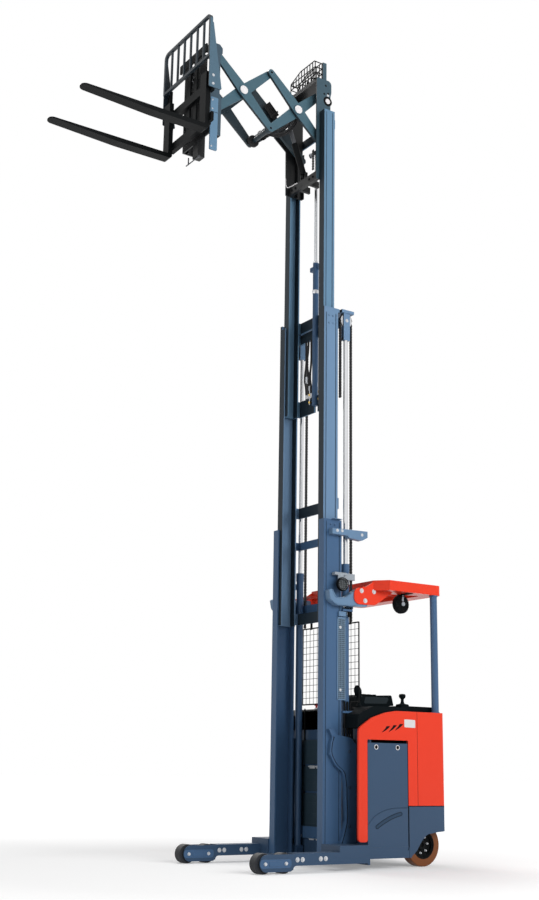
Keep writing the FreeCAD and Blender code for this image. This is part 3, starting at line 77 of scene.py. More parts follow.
def build_room():
    """The floor's glow to the eye climbs with distance from the truck, so that the shadow near it stays."""
    material, nodes, links, output = new_material("studio_floor")
    shader = nodes.new("ShaderNodeBsdfDiffuse")
    shader.inputs["Color"].default_value = (0.80, 0.80, 0.80, 1)
    glow = nodes.new("ShaderNodeEmission")
    away = nodes.new("ShaderNodeVectorMath")
    away.operation = "LENGTH"
    links.new(nodes.new("ShaderNodeTexCoord").outputs["Object"], away.inputs[0])
    rise = nodes.new("ShaderNodeMapRange")
    rise.inputs["From Min"].default_value = 2.0
    rise.inputs["From Max"].default_value = 9.0
    rise.inputs["To Min"].default_value = 0.26
    rise.inputs["To Max"].default_value = 0.85
    links.new(away.outputs["Value"], rise.inputs["Value"])
    seen = nodes.new("ShaderNodeMath")
    seen.operation = "MULTIPLY"
    links.new(white_to_the_eye(nodes, links), seen.inputs[0])
    links.new(rise.outputs["Result"], seen.inputs[1])
    links.new(seen.outputs[0], glow.inputs["Strength"])
    both = nodes.new("ShaderNodeAddShader")
    links.new(shader.outputs[0], both.inputs[0])
    links.new(glow.outputs[0], both.inputs[1])
    links.new(both.outputs[0], output.inputs["Surface"])
    mesh = bpy.data.meshes.new("studio_floor")
    reach = 60.0
    mesh.from_pydata([(-reach, -reach, 0), (reach, -reach, 0), (reach, reach, 0), (-reach, reach, 0)], [],
                     [(0, 1, 2, 3)])
    mesh.materials.append(material)
    floor = bpy.data.objects.new("studio_floor", mesh)
    bpy.context.scene.collection.objects.link(floor)

    world = bpy.data.worlds.new("studio_air")
    bpy.context.scene.world = world
    world.use_nodes = True
    nodes, links = world.node_tree.nodes, world.node_tree.links
    nodes.clear()
    air = nodes.new("ShaderNodeBackground")
    air.inputs["Color"].default_value = (1.0, 1.0, 1.0, 1)
    strength = nodes.new("ShaderNodeMapRange")
    strength.inputs["To Min"].default_value = 0.25
    strength.inputs["To Max"].default_value = 1.0
    links.new(white_to_the_eye(nodes, links), strength.inputs["Value"])
    links.new(strength.outputs["Result"], air.inputs["Strength"])
    links.new(air.outputs[0], nodes.new("ShaderNodeOutputWorld").inputs["Surface"])

    mast_middle = Vector((0.0, 0.0, 3.2))
    for name, spot, size, power in (("side_lamp", (0.2, 11.0, 4.8), 5.0, 560.0),
                                    ("rear_side_lamp", (-6.2, 10.5, 6.0), 5.0, 640.0),
                                    ("front_lamp", (10.0, 1.0, 2.0), 4.0, 200.0),
                                    ("far_lamp", (-3.0, -9.0, 6.0), 5.0, 80.0),
                                    ("top_lamp", (-0.5, -4.0, 12.0), 3.0, 420.0)):
        lamp = bpy.data.lights.new(name, "AREA")
        lamp.size = size
        lamp.energy = power
        holder = bpy.data.objects.new(name, lamp)
        holder.location = spot
        aim = mast_middle - Vector(spot)
        holder.rotation_euler = aim.to_track_quat("-Z", "Y").to_euler()
        holder.visible_glossy = "side" not in name
        bpy.context.scene.collection.objects.link(holder)


def build_camera():
    """A low camera ahead and to the left, looking up the mast, rolled a little about its own line."""
    spot = Vector((5.300, 8.575, 0.776))
    yaw, pitch, roll = math.radians(33.27), math.radians(14.46), math.radians(0.95)
    look = Vector((-math.sin(yaw) * math.cos(pitch), -math.cos(yaw) * math.cos(pitch), math.sin(pitch)))
    turn = Matrix.Rotation(-roll, 4, look) @ look.to_track_quat("-Z", "Y").to_matrix().to_4x4()
    data = bpy.data.cameras.new("camera")
    data.lens = 49.04
    data.sensor_width = 36.0
    camera = bpy.data.objects.new("camera", data)
    camera.matrix_world = Matrix.Translation(spot) @ turn
    bpy.context.scene.collection.objects.link(camera)
    bpy.context.scene.camera = camera


build_room()
build_camera()
bpy.context.scene.view_settings.view_transform = "Standard"


# ---------------------------------------------------------------- finishes that several pieces share
# Sprayed steel, moulded plastic, rubber and bare or plated steel. Four effects, worn edges, settled
# dust, a rippled skin and a slow change of tone, are built once and mixed into each finish.
def new_group(name, inputs, outputs):
    """A shader node group with float inputs (name, value) and outputs (name, socket type)."""
    tree = bpy.data.node_groups.new(name, "ShaderNodeTree")
    for label, value in inputs:
        socket = tree.interface.new_socket(name=label, in_out="INPUT", socket_type="NodeSocketFloat")
        socket.default_value = value
    for label, kind in outputs:
        tree.interface.new_socket(name=label, in_out="OUTPUT", socket_type=kind)
    return tree, tree.nodes.new("NodeGroupInput"), tree.nodes.new("NodeGroupOutput")


def math_node(tree, kind, a, b=None, clamp=False):
    """One arithmetic step on numbers or sockets."""
    step = tree.nodes.new("ShaderNodeMath")
    step.operation = kind
    step.use_clamp = clamp
    for place, value in enumerate((a, b)):
        if value is None:
            continue
        if isinstance(value, (int, float)):
            step.inputs[place].default_value = value
        else:
            tree.links.new(value, step.inputs[place])
    return step.outputs[0]


def noise_node(tree, scale, detail=4.0):
    """Noise over Object coordinates, its scale a number or a socket."""
    place = tree.nodes.new("ShaderNodeTexCoord").outputs["Object"]
    noise = tree.nodes.new("ShaderNodeTexNoise")
    noise.inputs["Detail"].default_value = detail
    tree.links.new(place, noise.inputs["Vector"])
    if isinstance(scale, (int, float)):
        noise.inputs["Scale"].default_value = scale
    else:
        tree.links.new(scale, noise.inputs["Scale"])
    return noise.outputs["Fac"]


def edge_wear_group():
    """Mask of worn edges: how far the bevelled normal leans from the true one, broken up by noise."""
    tree, given, put = new_group("edge_wear", [("Width", 0.003), ("Amount", 0.5)],
                                 [("Mask", "NodeSocketFloat")])
    bevel = tree.nodes.new("ShaderNodeBevel")
    bevel.samples = 4
    tree.links.new(given.outputs["Width"], bevel.inputs["Radius"])
    flat = tree.nodes.new("ShaderNodeNewGeometry")
    dot = tree.nodes.new("ShaderNodeVectorMath")
    dot.operation = "DOT_PRODUCT"
    tree.links.new(bevel.outputs["Normal"], dot.inputs[0])
    tree.links.new(flat.outputs["Normal"], dot.inputs[1])
    lean = math_node(tree, "SUBTRACT", 1.0, dot.outputs["Value"])
    edge = math_node(tree, "MULTIPLY", lean, 6.0, clamp=True)
    patchy = math_node(tree, "MULTIPLY", math_node(tree, "SUBTRACT", noise_node(tree, 38.0), 0.46), 7.0,
                       clamp=True)
    worn = math_node(tree, "MULTIPLY", edge, patchy)
    tree.links.new(math_node(tree, "MULTIPLY", worn, given.outputs["Amount"], clamp=True),
                   put.inputs["Mask"])
    return tree


def dust_group():
    """Mask of settled dust: the upward part of the normal times coarse and fine noise."""
    tree, given, put = new_group("settled_dust", [("Amount", 0.4)], [("Mask", "NodeSocketFloat")])
    split = tree.nodes.new("ShaderNodeSeparateXYZ")
    tree.links.new(tree.nodes.new("ShaderNodeNewGeometry").outputs["Normal"], split.inputs[0])
    up = math_node(tree, "POWER", math_node(tree, "MAXIMUM", split.outputs["Z"], 0.0), 2.0)
    cloud = math_node(tree, "MULTIPLY", noise_node(tree, 5.0), noise_node(tree, 90.0))
    laid = math_node(tree, "MULTIPLY", math_node(tree, "MULTIPLY", up, cloud), 3.0)
    tree.links.new(math_node(tree, "MULTIPLY", laid, given.outputs["Amount"], clamp=True),
                   put.inputs["Mask"])
    return tree


def ripple_group():
    """Height of a sprayed or moulded skin: fine noise plus a slow wave of coarse noise."""
    tree, given, put = new_group("skin_ripple", [("Fine scale", 420.0), ("Coarse share", 0.5)],
                                 [("Height", "NodeSocketFloat")])
    fine = noise_node(tree, given.outputs["Fine scale"], 2.0)
    coarse = math_node(tree, "MULTIPLY", noise_node(tree, 7.0, 2.0), given.outputs["Coarse share"])
    tree.links.new(math_node(tree, "ADD", fine, coarse), put.inputs["Height"])
    return tree


def tone_group():
    """A slow change of tone over a large surface: two octaves of soft noise about one half."""
    tree, given, put = new_group("slow_tone", [("Scale", 1.6), ("Swing", 0.3)],
                                 [("Factor", "NodeSocketFloat")])
    wave = math_node(tree, "SUBTRACT", noise_node(tree, given.outputs["Scale"], 2.0), 0.5)
    swing = math_node(tree, "MULTIPLY", wave, given.outputs["Swing"])
    tree.links.new(math_node(tree, "ADD", swing, 0.5, clamp=True), put.inputs["Factor"])
    return tree


EDGE_WEAR, DUST, RIPPLE, TONE = edge_wear_group(), dust_group(), ripple_group(), tone_group()
TONE_SWING, DUST_COLOUR = 0.6, (0.55, 0.53, 0.50)


def use_group(nodes, tree, **values):
    """Places a shared effect in a material; a value's underscores stand for the input name's blanks."""
    box = nodes.new("ShaderNodeGroup")
    box.node_tree = tree
    for label, value in values.items():
        box.inputs[label.replace("_", " ")].default_value = value
    return box.outputs[0]


def mixed(nodes, links, factor, first, second):
    """The first colour where the factor is nought and the second where it is one."""
    mix = nodes.new("ShaderNodeMix")
    mix.data_type = "RGBA"
    links.new(factor, mix.inputs["Factor"])
    for socket, colour in (("A", first), ("B", second)):
        place = [s for s in mix.inputs if s.name == socket and s.type == "RGBA"][0]
        if isinstance(colour, tuple):
            place.default_value = (*colour, 1)
        else:
            links.new(colour, place)
    return [s for s in mix.outputs if s.type == "RGBA"][0]


def spread(nodes, links, factor, low, high):
    """The factor from nought to one carried to the range from low to high."""
    step = nodes.new("ShaderNodeMapRange")
    step.inputs["To Min"].default_value = low
    step.inputs["To Max"].default_value = high
    links.new(factor, step.inputs["Value"])
    return step.outputs["Result"]


def new_surface(name):
    """A new material whose output is one Principled shader, as (material, nodes, links, shader)."""
    material, nodes, links, output = new_material(name)
    shader = nodes.new("ShaderNodeBsdfPrincipled")
    links.new(shader.outputs[0], output.inputs["Surface"])
    return material, nodes, links, shader


def raise_skin(nodes, links, shader, height, distance):
    """Relief from a height: the normal leans by its slope times a distance in metres."""
    relief = nodes.new("ShaderNodeBump")
    relief.inputs["Strength"].default_value = 1.0
    relief.inputs["Distance"].default_value = distance
    links.new(height, relief.inputs["Height"])
    links.new(relief.outputs["Normal"], shader.inputs["Normal"])


def size_along(nodes, links, coordinate, axis):
    """How far a point or normal reaches along one axis either way: the absolute of that part."""
    split = nodes.new("ShaderNodeSeparateXYZ")
    links.new(nodes.new("ShaderNodeTexCoord").outputs[coordinate], split.inputs[0])
    size = nodes.new("ShaderNodeMath")
    size.operation = "ABSOLUTE"
    links.new(split.outputs[axis], size.inputs[0])
    return size.outputs[0]


def climb(nodes, links, value, start, stop):
    """A share that climbs from none to all as the value goes from start to stop."""
    share = nodes.new("ShaderNodeMapRange")
    share.inputs["From Min"].default_value = start
    share.inputs["From Max"].default_value = stop
    links.new(value, share.inputs["Value"])
    return share.outputs["Result"]


def finish(name, colour, rough, metal=0.0, coat=0.0, worn=None, wear=0.5, dust=0.3, fine=420.0, coarse=0.5,
           bump=0.02, tone=0.12, specular=0.5):
    """A surface finish: colour with slow tone, worn edges and dust, and roughness that follows the ripple."""
    material, nodes, links, shader = new_surface(name)
    shader.inputs["Metallic"].default_value = metal
    shader.inputs["Coat Weight"].default_value = coat
    shader.inputs["Coat Roughness"].default_value = 0.12
    shader.inputs["Specular IOR Level"].default_value = specular
    dark = tuple(c * (1 - tone) for c in colour)
    light = tuple(min(1.0, c * (1 + tone)) for c in colour)
    slow = use_group(nodes, TONE, Swing=TONE_SWING)
    body_colour = mixed(nodes, links, slow, dark, light)
    if worn:
        bare = use_group(nodes, EDGE_WEAR, Amount=wear)
        body_colour = mixed(nodes, links, bare, body_colour, worn)
    if dust:
        laid = use_group(nodes, DUST, Amount=dust)
        body_colour = mixed(nodes, links, laid, body_colour, DUST_COLOUR)
    links.new(body_colour, shader.inputs["Base Color"])
    height = use_group(nodes, RIPPLE, Fine_scale=fine, Coarse_share=coarse)
    links.new(spread(nodes, links, height, rough - 0.06, rough + 0.08), shader.inputs["Roughness"])
    raise_skin(nodes, links, shader, height, bump / 100)
    return material


def dress(material, *names):
    """Gives CAD nodes a finish in place of the plain one."""
    for name in names:
        if name in node:
            for place in node[name].material_slots:
                place.link = "DATA"
            node[name].data.materials.clear()
            node[name].data.materials.append(material)


SLATE = finish("slate_paint", (0.044, 0.098, 0.192), 0.40, coat=0.08, worn=(0.16, 0.19, 0.23), wear=0.35,
               dust=0.05, specular=0.3)
MID_BLUE = finish("mid_blue_paint", (0.115, 0.200, 0.318), 0.40, coat=0.08, worn=(0.2, 0.25, 0.3),
                  wear=0.35, dust=0.05, specular=0.3)
UPPER_BLUE = finish("upper_blue_paint", (0.118, 0.222, 0.335), 0.40, coat=0.08, worn=(0.28, 0.34, 0.4),
                    wear=0.35, dust=0.05, specular=0.3)
BLACK_PAINT = finish("black_paint", (0.0040, 0.0047, 0.0052), 0.46, worn=(0.05, 0.05, 0.055), wear=0.35,
                     dust=0.01, specular=0.09)
ORANGE_RED = finish("orange_red_paint", (0.68, 0.036, 0.011), 0.34, coat=0.12, worn=(0.55, 0.10, 0.07),
                    wear=0.2, dust=0.04, specular=0.25, tone=0.06)
BLACK_PLASTIC = finish("black_plastic", (0.0040, 0.0052, 0.0062), 0.60, fine=900.0, bump=0.05, coarse=0.1,
                       dust=0.01, specular=0.05)
CHROME = finish("hard_chrome", (0.72, 0.73, 0.75), 0.16, metal=1.0, dust=0.0, bump=0.004)
STEEL = finish("bright_steel", (0.62, 0.63, 0.65), 0.30, metal=1.0, dust=0.05, bump=0.01)
ZINC = finish("zinc_plate", (0.60, 0.62, 0.65), 0.40, metal=0.5, dust=0.05, bump=0.01)
DARK_TYRE = finish("dark_tyre", (0.02, 0.022, 0.026), 0.62, dust=0.25, fine=600.0, bump=0.05, specular=0.3)
AMBER_TYRE = finish("amber_tyre", (0.155, 0.048, 0.012), 0.45, dust=0.15, fine=300.0, bump=0.03,
                    specular=0.35)
RUBBER = finish("black_rubber", (0.012, 0.012, 0.013), 0.66, fine=700.0, bump=0.05, dust=0.1, specular=0.3)
PAD = finish("pad_cover", (0.014, 0.014, 0.016), 0.55, fine=500.0, bump=0.06, dust=0.05, specular=0.3)
CHAIN = finish("oiled_chain", (0.022, 0.022, 0.023), 0.42, metal=0.2, dust=0.03, specular=0.3)
BUTTON_RED = finish("button_red", (0.60, 0.012, 0.01), 0.3, coat=0.3, dust=0.0)
LAMP_GREY = finish("lamp_grey", (0.42, 0.43, 0.45), 0.4, metal=0.7, dust=0.05)
WHITE_CAP = finish("white_cap", (0.78, 0.76, 0.77), 0.42, dust=0.03, specular=0.3)

by_slot = {"blue_paint": SLATE, "red_paint": ORANGE_RED, "black_paint": BLACK_PAINT,
           "black_plastic": BLACK_PLASTIC, "chrome_rod": CHROME, "steel": STEEL, "dark_tyre": DARK_TYRE,
           "tan_tyre": AMBER_TYRE, "rubber_mat": RUBBER, "pad_cover": PAD, "chain_steel": CHAIN,
           "red_button": BUTTON_RED, "lamp_body": LAMP_GREY}
for row in frame["record"]["subparts"]:
    dress(by_slot[row["material_slot"]], row["node"])
dress(MID_BLUE, "guard_brackets", "cable_shelf")
dress(UPPER_BLUE, "frame_cover")

# ---------------------------------------------------------------- straddle legs
# Two welded box arms along the floor, sprayed slate with the frame. Bolts clamp the arms'
# inner plates in pairs, and a bolted pin through the nose carries each load wheel.
AXES = {"x": (1.0, 0.0, 0.0), "y": (0.0, 1.0, 0.0), "z": (0.0, 0.0, 1.0)}


def outward(points, faces):
    """Faces turned round where the signed volume, a sum of corner triple products, is below nought."""
    volume = 0.0
    for ring in faces:
        a, b, c = points[ring[:, :1]], points[ring[:, 1:-1]], points[ring[:, 2:]]
        volume += float(np.einsum("ijk,ijk->", np.broadcast_to(a, b.shape), np.cross(b, c)))
    return (points, faces) if volume >= 0 else (points, [ring[:, ::-1] for ring in faces])


def band(rows, columns, wrap_rows=False):
    """Quads of a grid whose columns close on themselves: point (i, j) is number i * columns + j."""
    i = np.arange(rows if wrap_rows else rows - 1)[:, None]
    j = np.arange(columns)[None, :]
    after, across = (i + 1) % rows, (j + 1) % columns
    quads = np.stack([i * columns + j, i * columns + across, after * columns + across, after * columns + j],
                     axis=-1)
    return quads.reshape(-1, 4)


def across_of(direction):
    """The direction made one long, and two more square to it."""
    w = np.asarray(direction, float) / np.linalg.norm(direction)
    u = np.cross((0.0, 0.0, 1.0), w) if abs(w[2]) < 0.9 else np.cross((0.0, 1.0, 0.0), w)
    u = u / np.linalg.norm(u)
    return u, np.cross(w, u), w


def turned(profile, direction, centre, turns):
    """A profile's points turned round a line: centre + along * w + radius * (u cos t + v sin t)."""
    u, v, w = across_of(AXES[direction] if isinstance(direction, str) else direction)
    along, radius = np.asarray(profile, float).T
    t = np.linspace(0, 2 * np.pi, turns, endpoint=False)
    ring = np.cos(t)[:, None] * u + np.sin(t)[:, None] * v
    points = along[:, None, None] * w + radius[:, None, None] * ring + np.asarray(centre, float)
    return points.reshape(-1, 3)


def tube(points, rows, columns):
    """A solid from closed rows of points in order: quads between them and a flat face at each end."""
    ends = [np.arange(columns)[None, ::-1], (rows - 1) * columns + np.arange(columns)[None, :]]
    return outward(points, [band(rows, columns), *ends])


def lathe(profile, direction="z", centre=(0, 0, 0), turns=24):
    """A solid turned round a line from an open profile of (along, radius), with flat ends."""
    return tube(turned(profile, direction, centre, turns), len(profile), turns)


def rounded(corners, steps=5):
    """An outline whose corners (x, y, radius) become arcs, each a run of points round the corner's circle."""
    spots = np.array([c[:2] for c in corners], float)
    line = []
    for k, corner in enumerate(corners):
        if len(corner) < 3 or corner[2] <= 0:
            line.append(spots[k][None])
            continue
        back = spots[k - 1] - spots[k]
        on = spots[(k + 1) % len(corners)] - spots[k]
        back, on = back / np.linalg.norm(back), on / np.linalg.norm(on)
        half = np.arccos(np.clip(back @ on, -1, 1)) / 2
        middle = spots[k] + (back + on) / np.linalg.norm(back + on) * corner[2] / np.sin(half)
        first = spots[k] + back * corner[2] / np.tan(half) - middle
        last = spots[k] + on * corner[2] / np.tan(half) - middle
        turn = np.arctan2(first[0] * last[1] - first[1] * last[0], first @ last)
        t = np.linspace(0, turn, steps + 1)[:, None]
        line.append(middle + np.cos(t) * first + np.sin(t) * np.array([-first[1], first[0]]))
    return np.concatenate(line)


def drawn_in(outline, inset):
    """The outline moved inwards by the inset, each corner along the mean of its two edges' normals."""
    before, after = outline - np.roll(outline, 1, axis=0), np.roll(outline, -1, axis=0) - outline
    sides = []
    for run in (before, after):
        length = np.maximum(np.linalg.norm(run, axis=1, keepdims=True), 1e-9)
        sides.append(np.stack([-run[:, 1], run[:, 0]], axis=1) / length)
    lean = sides[0] + sides[1]
    lean = lean / np.maximum(np.einsum("ij,ij->i", lean, lean)[:, None] / 2, 0.3)
    area = np.sum(outline[:, 0] * np.roll(outline[:, 1], -1) - outline[:, 1] * np.roll(outline[:, 0], -1))
    return outline + lean * inset * (1 if area > 0 else -1)


PLANES = {"XZ": (0, 2, 1), "XY": (0, 1, 2), "YZ": (1, 2, 0)}


def rectangle(across, up, corner=0.0):
    """The four corners of a rectangle between two places each way, with a radius if it isn't nought."""
    r = (corner,) if corner else ()
    return [(across[0], up[0], *r), (across[1], up[0], *r), (across[1], up[1], *r), (across[0], up[1], *r)]


def slab(corners, plane, low, high, bevel=0.0015, steps=5):
    """An outline carried from low to high across its plane, drawn in by the bevel at both ends."""
    outline = rounded(corners, steps)
    first, second, third = PLANES[plane]
    rings = []
    for place, inset in ((low, bevel), (low + bevel, 0), (high - bevel, 0), (high, bevel)):
        ring = np.zeros((len(outline), 3))
        edge = drawn_in(outline, inset) if inset else outline
        ring[:, first], ring[:, second], ring[:, third] = edge[:, 0], edge[:, 1], place
        rings.append(ring)
    return tube(np.concatenate(rings), len(rings), len(outline))


def block(x, y, z, bevel=0.0015):
    """A block between two places along each axis, with its edges taken off."""
    return slab(rectangle(x, z), "XZ", min(y), max(y), bevel)


def swept(path, section, up=(0, 0, 1)):
    """A section carried along a path: each point is path + s * side + t * top, square to the path's run."""
    path = np.asarray(path, float)
    run = np.gradient(path, axis=0)
    run /= np.linalg.norm(run, axis=1, keepdims=True)
    side = np.cross(run, np.asarray(up, float))
    weak = np.linalg.norm(side, axis=1) < 1e-3
    side[weak] = np.cross(run[weak], (0.0, 1.0, 0.0))
    side /= np.linalg.norm(side, axis=1, keepdims=True)
    top = np.cross(side, run)
    section = np.asarray(section, float)
    points = path[:, None] + section[None, :, :1] * side[:, None] + section[None, :, 1:] * top[:, None]
    return tube(points.reshape(-1, 3), len(path), len(section))


def ring_section(radius, sides=10):
    """A circle's points as a section."""
    t = np.linspace(0, 2 * np.pi, sides, endpoint=False)
    return np.stack([np.cos(t), np.sin(t)], axis=1) * radius


def bent(points, radius=0.03, steps=6):
    """A path of straight runs whose corners are rounded by quadratic arcs of about the radius."""
    points = np.asarray(points, float)
    line = [points[:1]]
    for k in range(1, len(points) - 1):
        back, on = points[k - 1] - points[k], points[k + 1] - points[k]
        cut = min(radius, np.linalg.norm(back) / 2.1, np.linalg.norm(on) / 2.1)
        start, stop = points[k] + back / np.linalg.norm(back) * cut, points[k] + on / np.linalg.norm(on) * cut
        t = np.linspace(0, 1, steps + 1)[:, None]
        line.append((1 - t) ** 2 * start + 2 * t * (1 - t) * points[k] + t ** 2 * stop)
    return np.concatenate([*line, points[-1:]])


def copies(chunk, places):
    """The same solid at each place."""
    points, faces = chunk
    places = np.asarray(places, float)
    count = len(points)
    step = np.arange(len(places)) * count
    moved = (points[None] + places[:, None]).reshape(-1, 3)
    return moved, [(ring[None] + step[:, None, None]).reshape(-1, ring.shape[1]) for ring in faces]


def bolts(places, direction, radius=0.008, height=0.006, washer=1.45):
    """Hexagon heads on washers, one at each place, standing along the direction."""
    disc = lathe([(0, radius * washer), (0.0018, radius * washer), (0.0022, radius * washer * 0.93)],
                 direction, turns=20)
    head = lathe([(0.002, radius), (0.002 + height * 0.85, radius), (0.002 + height, radius * 0.82)],
                 direction, turns=6)
    return [copies(disc, places), copies(head, places)]


def piece(name, chunks, material, body, sharp=32):
    """One object from several closed solids, in place on its body, smooth but for its sharp edges."""
    points = np.concatenate([chunk[0] for chunk in chunks])
    faces, start = [], 0
    for corner_points, rings in chunks:
        for ring in rings:
            faces.extend((ring + start).tolist())
        start += len(corner_points)
    mesh = bpy.data.meshes.new(name)
    mesh.from_pydata(points.tolist(), [], faces)
    mesh.materials.append(material)
    mesh.polygons.foreach_set("use_smooth", np.ones(len(mesh.polygons), bool))
    mesh.set_sharp_from_angle(angle=math.radians(sharp))
    thing = bpy.data.objects.new(name, mesh)
    bpy.context.scene.collection.objects.link(thing)
    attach(thing, body)
    return thing


axle_x = sum(corner[0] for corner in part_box("load_wheel_left_front")) / 2
leg_out, leg_width, wheel_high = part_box("straddle_legs")[1].y, 0.125, 0.075


def behind(distance):
    """A place along X by its distance behind the front load axle."""
    return axle_x - distance


leg_bolts, cheek_plates = [], []
for sign in (1, -1):
    for face, way in ((sign * leg_out, sign), (sign * (leg_out - leg_width), -sign)):
        pairs = [(behind(d), face, z)
                 for d, z in ((0.290, 0.099), (0.337, 0.099), (0.505, 0.101), (0.552, 0.101))]
        leg_bolts += bolts(pairs, (0, way, 0), radius=0.0125, height=0.009)
        pins = [(behind(d), face + way * 0.0035, wheel_high) for d in (0.0, 0.185)]
        leg_bolts += bolts(pins, (0, way, 0), radius=0.0115, height=0.010, washer=1.2)
        relief = rectangle((behind(0.235), behind(-0.045)), (0.043, 0.107), 0.024)
        cheek_plates.append(slab(relief, "XZ", *sorted((face - way * 0.001, face + way * 0.0035)),
                                 bevel=0.0012))
        bridge = rectangle((behind(0.150), behind(0.035)), (0.056, 0.094), 0.008)
        cheek_plates.append(slab(bridge, "XZ", *sorted((face + way * 0.0025, face + way * 0.0065)),
                                 bevel=0.0012))
piece("leg_bolts", leg_bolts, ZINC, "chassis")
piece("nose_cheek_plates", cheek_plates, SLATE, "chassis")

# ---------------------------------------------------------------- mast rails
# Three nested pairs of rolled channels, welded to flat ties. Each web has a rolled bead near
# its edges, and bolts at each head set the wear pads that centre the next pair.
# Near-black finish for painted shadow lines: thin strips beside the rail beads, and the rim of the door's
# hand slot.
RAIL_SHADOW = finish("painted_shadow_strip", (0.010, 0.020, 0.034), 0.55, dust=0.03, specular=0.2)
mast_face, outer_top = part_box("outer_mast")[1].x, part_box("outer_mast")[1].z
outer_foot, mast_depth, middle_height = 0.077, 0.184, 2.725
middle_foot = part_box("middle_mast")[0].z
middle_top = middle_foot + middle_height
inner_foot, inner_top = (corner.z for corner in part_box("inner_mast"))
mast_back = mast_face - mast_depth
stages = (("outer", 0.380, mast_face, mast_depth, outer_foot, outer_top, "chassis", SLATE),
          ("middle", 0.345, mast_face - 0.017, mast_depth - 0.034, middle_foot, middle_top, "middle_mast",
           MID_BLUE),
          ("inner", 0.310, mast_face - 0.034, mast_depth - 0.068, inner_foot, inner_top, "inner_mast",
           UPPER_BLUE))
for stage, half, front, depth, foot, top, body, paint in stages:
    beads, shadow_strips_and_wear_rings, heads = [], [], []
    for sign in (1, -1):
        face = sign * half
        for x in (front - 0.016, front - depth + 0.016):
            beads.append(block((x - 0.0045, x + 0.0045), (face - sign * 0.001, face + sign * 0.0018),
                               (foot + 0.02, top - 0.02), bevel=0.0008))
            # Beside each bead a thin dark strip, a painted shadow line.
            shadow_x = x + (0.0085 if x < front - depth / 2 else -0.0085)
            shadow_strips_and_wear_rings.append(block((shadow_x - 0.0030, shadow_x + 0.0030),
                                 (face - sign * 0.001, face + sign * 0.0006),
                                 (foot + 0.02, top - 0.02), bevel=0.0002))
        if stage != "inner":
            places = [(front - depth / 2 + dx, face, top - dz)
                      for dx in (-0.022, 0.022) for dz in (0.045, 0.115)]
            heads += bolts(places, (0, sign, 0), radius=0.0075, height=0.005)
    piece(stage + "_rail_beads", beads, paint, body)
    piece(stage + "_painted_shadow_strips", shadow_strips_and_wear_rings, RAIL_SHADOW, body)
    if heads:
        piece(stage + "_pad_bolts", heads, paint, body)

tie_bolts = []
for z in (outer_foot + 0.135, outer_foot + 0.200, 2.075, 2.140):
    for sign in (1, -1):
        tie_bolts += bolts([(mast_back - 0.030, sign * 0.380, z)], (0, sign, 0), radius=0.008)
piece("tie_bolts", tie_bolts, ZINC, "chassis")


def shaded_along_x(material, painted_shade=(0.011, 0.020, 0.029)):
    """The same paint with painted shade on faces that look along X: the dark colour's share climbs from none
    to all as the normal's X part goes from 0.6 to 0.8."""
    nodes, links = material.node_tree.nodes, material.node_tree.links
    shader = next(step for step in nodes if step.type == "BSDF_PRINCIPLED")
    share = climb(nodes, links, size_along(nodes, links, "Normal", "X"), 0.6, 0.8)
    paint = shader.inputs["Base Color"].links[0].from_socket
    links.new(mixed(nodes, links, share, paint, painted_shade), shader.inputs["Base Color"])
    return material


# The second and third stages get painted shade on their faces that look along X, darker than their sides.
dress(shaded_along_x(finish("middle_rail_paint", (0.130, 0.220, 0.345), 0.42, dust=0.05, specular=0.2)),
      "middle_mast")
dress(shaded_along_x(finish("inner_rail_paint", (0.118, 0.222, 0.335), 0.42, dust=0.05, specular=0.2)),
      "inner_mast")

# ---------------------------------------------------------------- lift cylinders and chains
# Two painted barrels with chromed rods raise the second stage, and leaf chains over two sheaves
# pull up the third. Glands and banjo unions are steel; the pipes are bent steel tube.
def hoop(profile, direction="z", centre=(0, 0, 0), turns=32):
    """A ring turned round a line from a closed profile of (along, radius)."""
    return outward(turned(profile, direction, centre, turns), [band(len(profile), turns, wrap_rows=True)])


cylinder_x = sum(corner[0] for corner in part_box("lift_rods")) / 2
barrel_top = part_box("lift_barrels")[1].z
cylinder_y = 0.335
glands, unions, pipes = [], [], []
for sign in (1, -1):
    spot = (cylinder_x, sign * cylinder_y, 0)
    for top, high in ((barrel_top - 0.002, 0.028), (barrel_top - 0.408, 0.022)):
        glands.append(hoop([(top - high, 0.0310), (top - high + 0.003, 0.0335), (top - 0.003, 0.0335),
                            (top, 0.0310)], "z", spot, 28))
    base = np.array((cylinder_x - 0.036, sign * cylinder_y, 0.215))
    unions += bolts([base + (0.004, 0, 0)], (-1, 0, 0), radius=0.010, height=0.012)
    line = [base + (-0.012, 0, 0), base + (-0.030, 0, 0), base + (-0.030, 0, 1.05)]
    pipes.append(swept(bent(line, 0.03), ring_section(0.006)))
piece("cylinder_glands", glands, STEEL, "chassis")
piece("pipe_unions", unions, ZINC, "chassis")
piece("lift_pipes", pipes, BLACK_PAINT, "chassis")

sheave_z = sum(corner[2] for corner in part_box("chain_sheaves")) / 2
chain_wraps, sheave_pins = [], []
for sign in (1, -1):
    t = np.linspace(0, np.pi, 19)
    arc = np.stack([cylinder_x + 0.058 * np.cos(t), np.full(19, sign * cylinder_y),
                    sheave_z + 0.058 * np.sin(t)], axis=1)
    link = [(-0.006, -0.0105), (-0.006, 0.0105), (0.006, 0.0105), (0.006, -0.0105)]
    chain_wraps.append(swept(arc, link, up=(0, 1, 0)))
    teeth = lathe([(-0.011, 0.0042), (-0.011, 0.0046), (0.011, 0.0046), (0.011, 0.0042)], "y", turns=8)
    spokes = np.stack([np.cos(t), 0 * t, np.sin(t)], axis=1)
    chain_wraps.append(copies(teeth, arc[1:-1] + spokes[1:-1] * 0.0055))
    sheave_pins += bolts([(cylinder_x, sign * (cylinder_y + 0.021), sheave_z)], (0, sign, 0), radius=0.011,
                         height=0.008)
piece("chain_wraps", chain_wraps, CHAIN, "middle_mast")
piece("sheave_pins", sheave_pins, ZINC, "middle_mast")


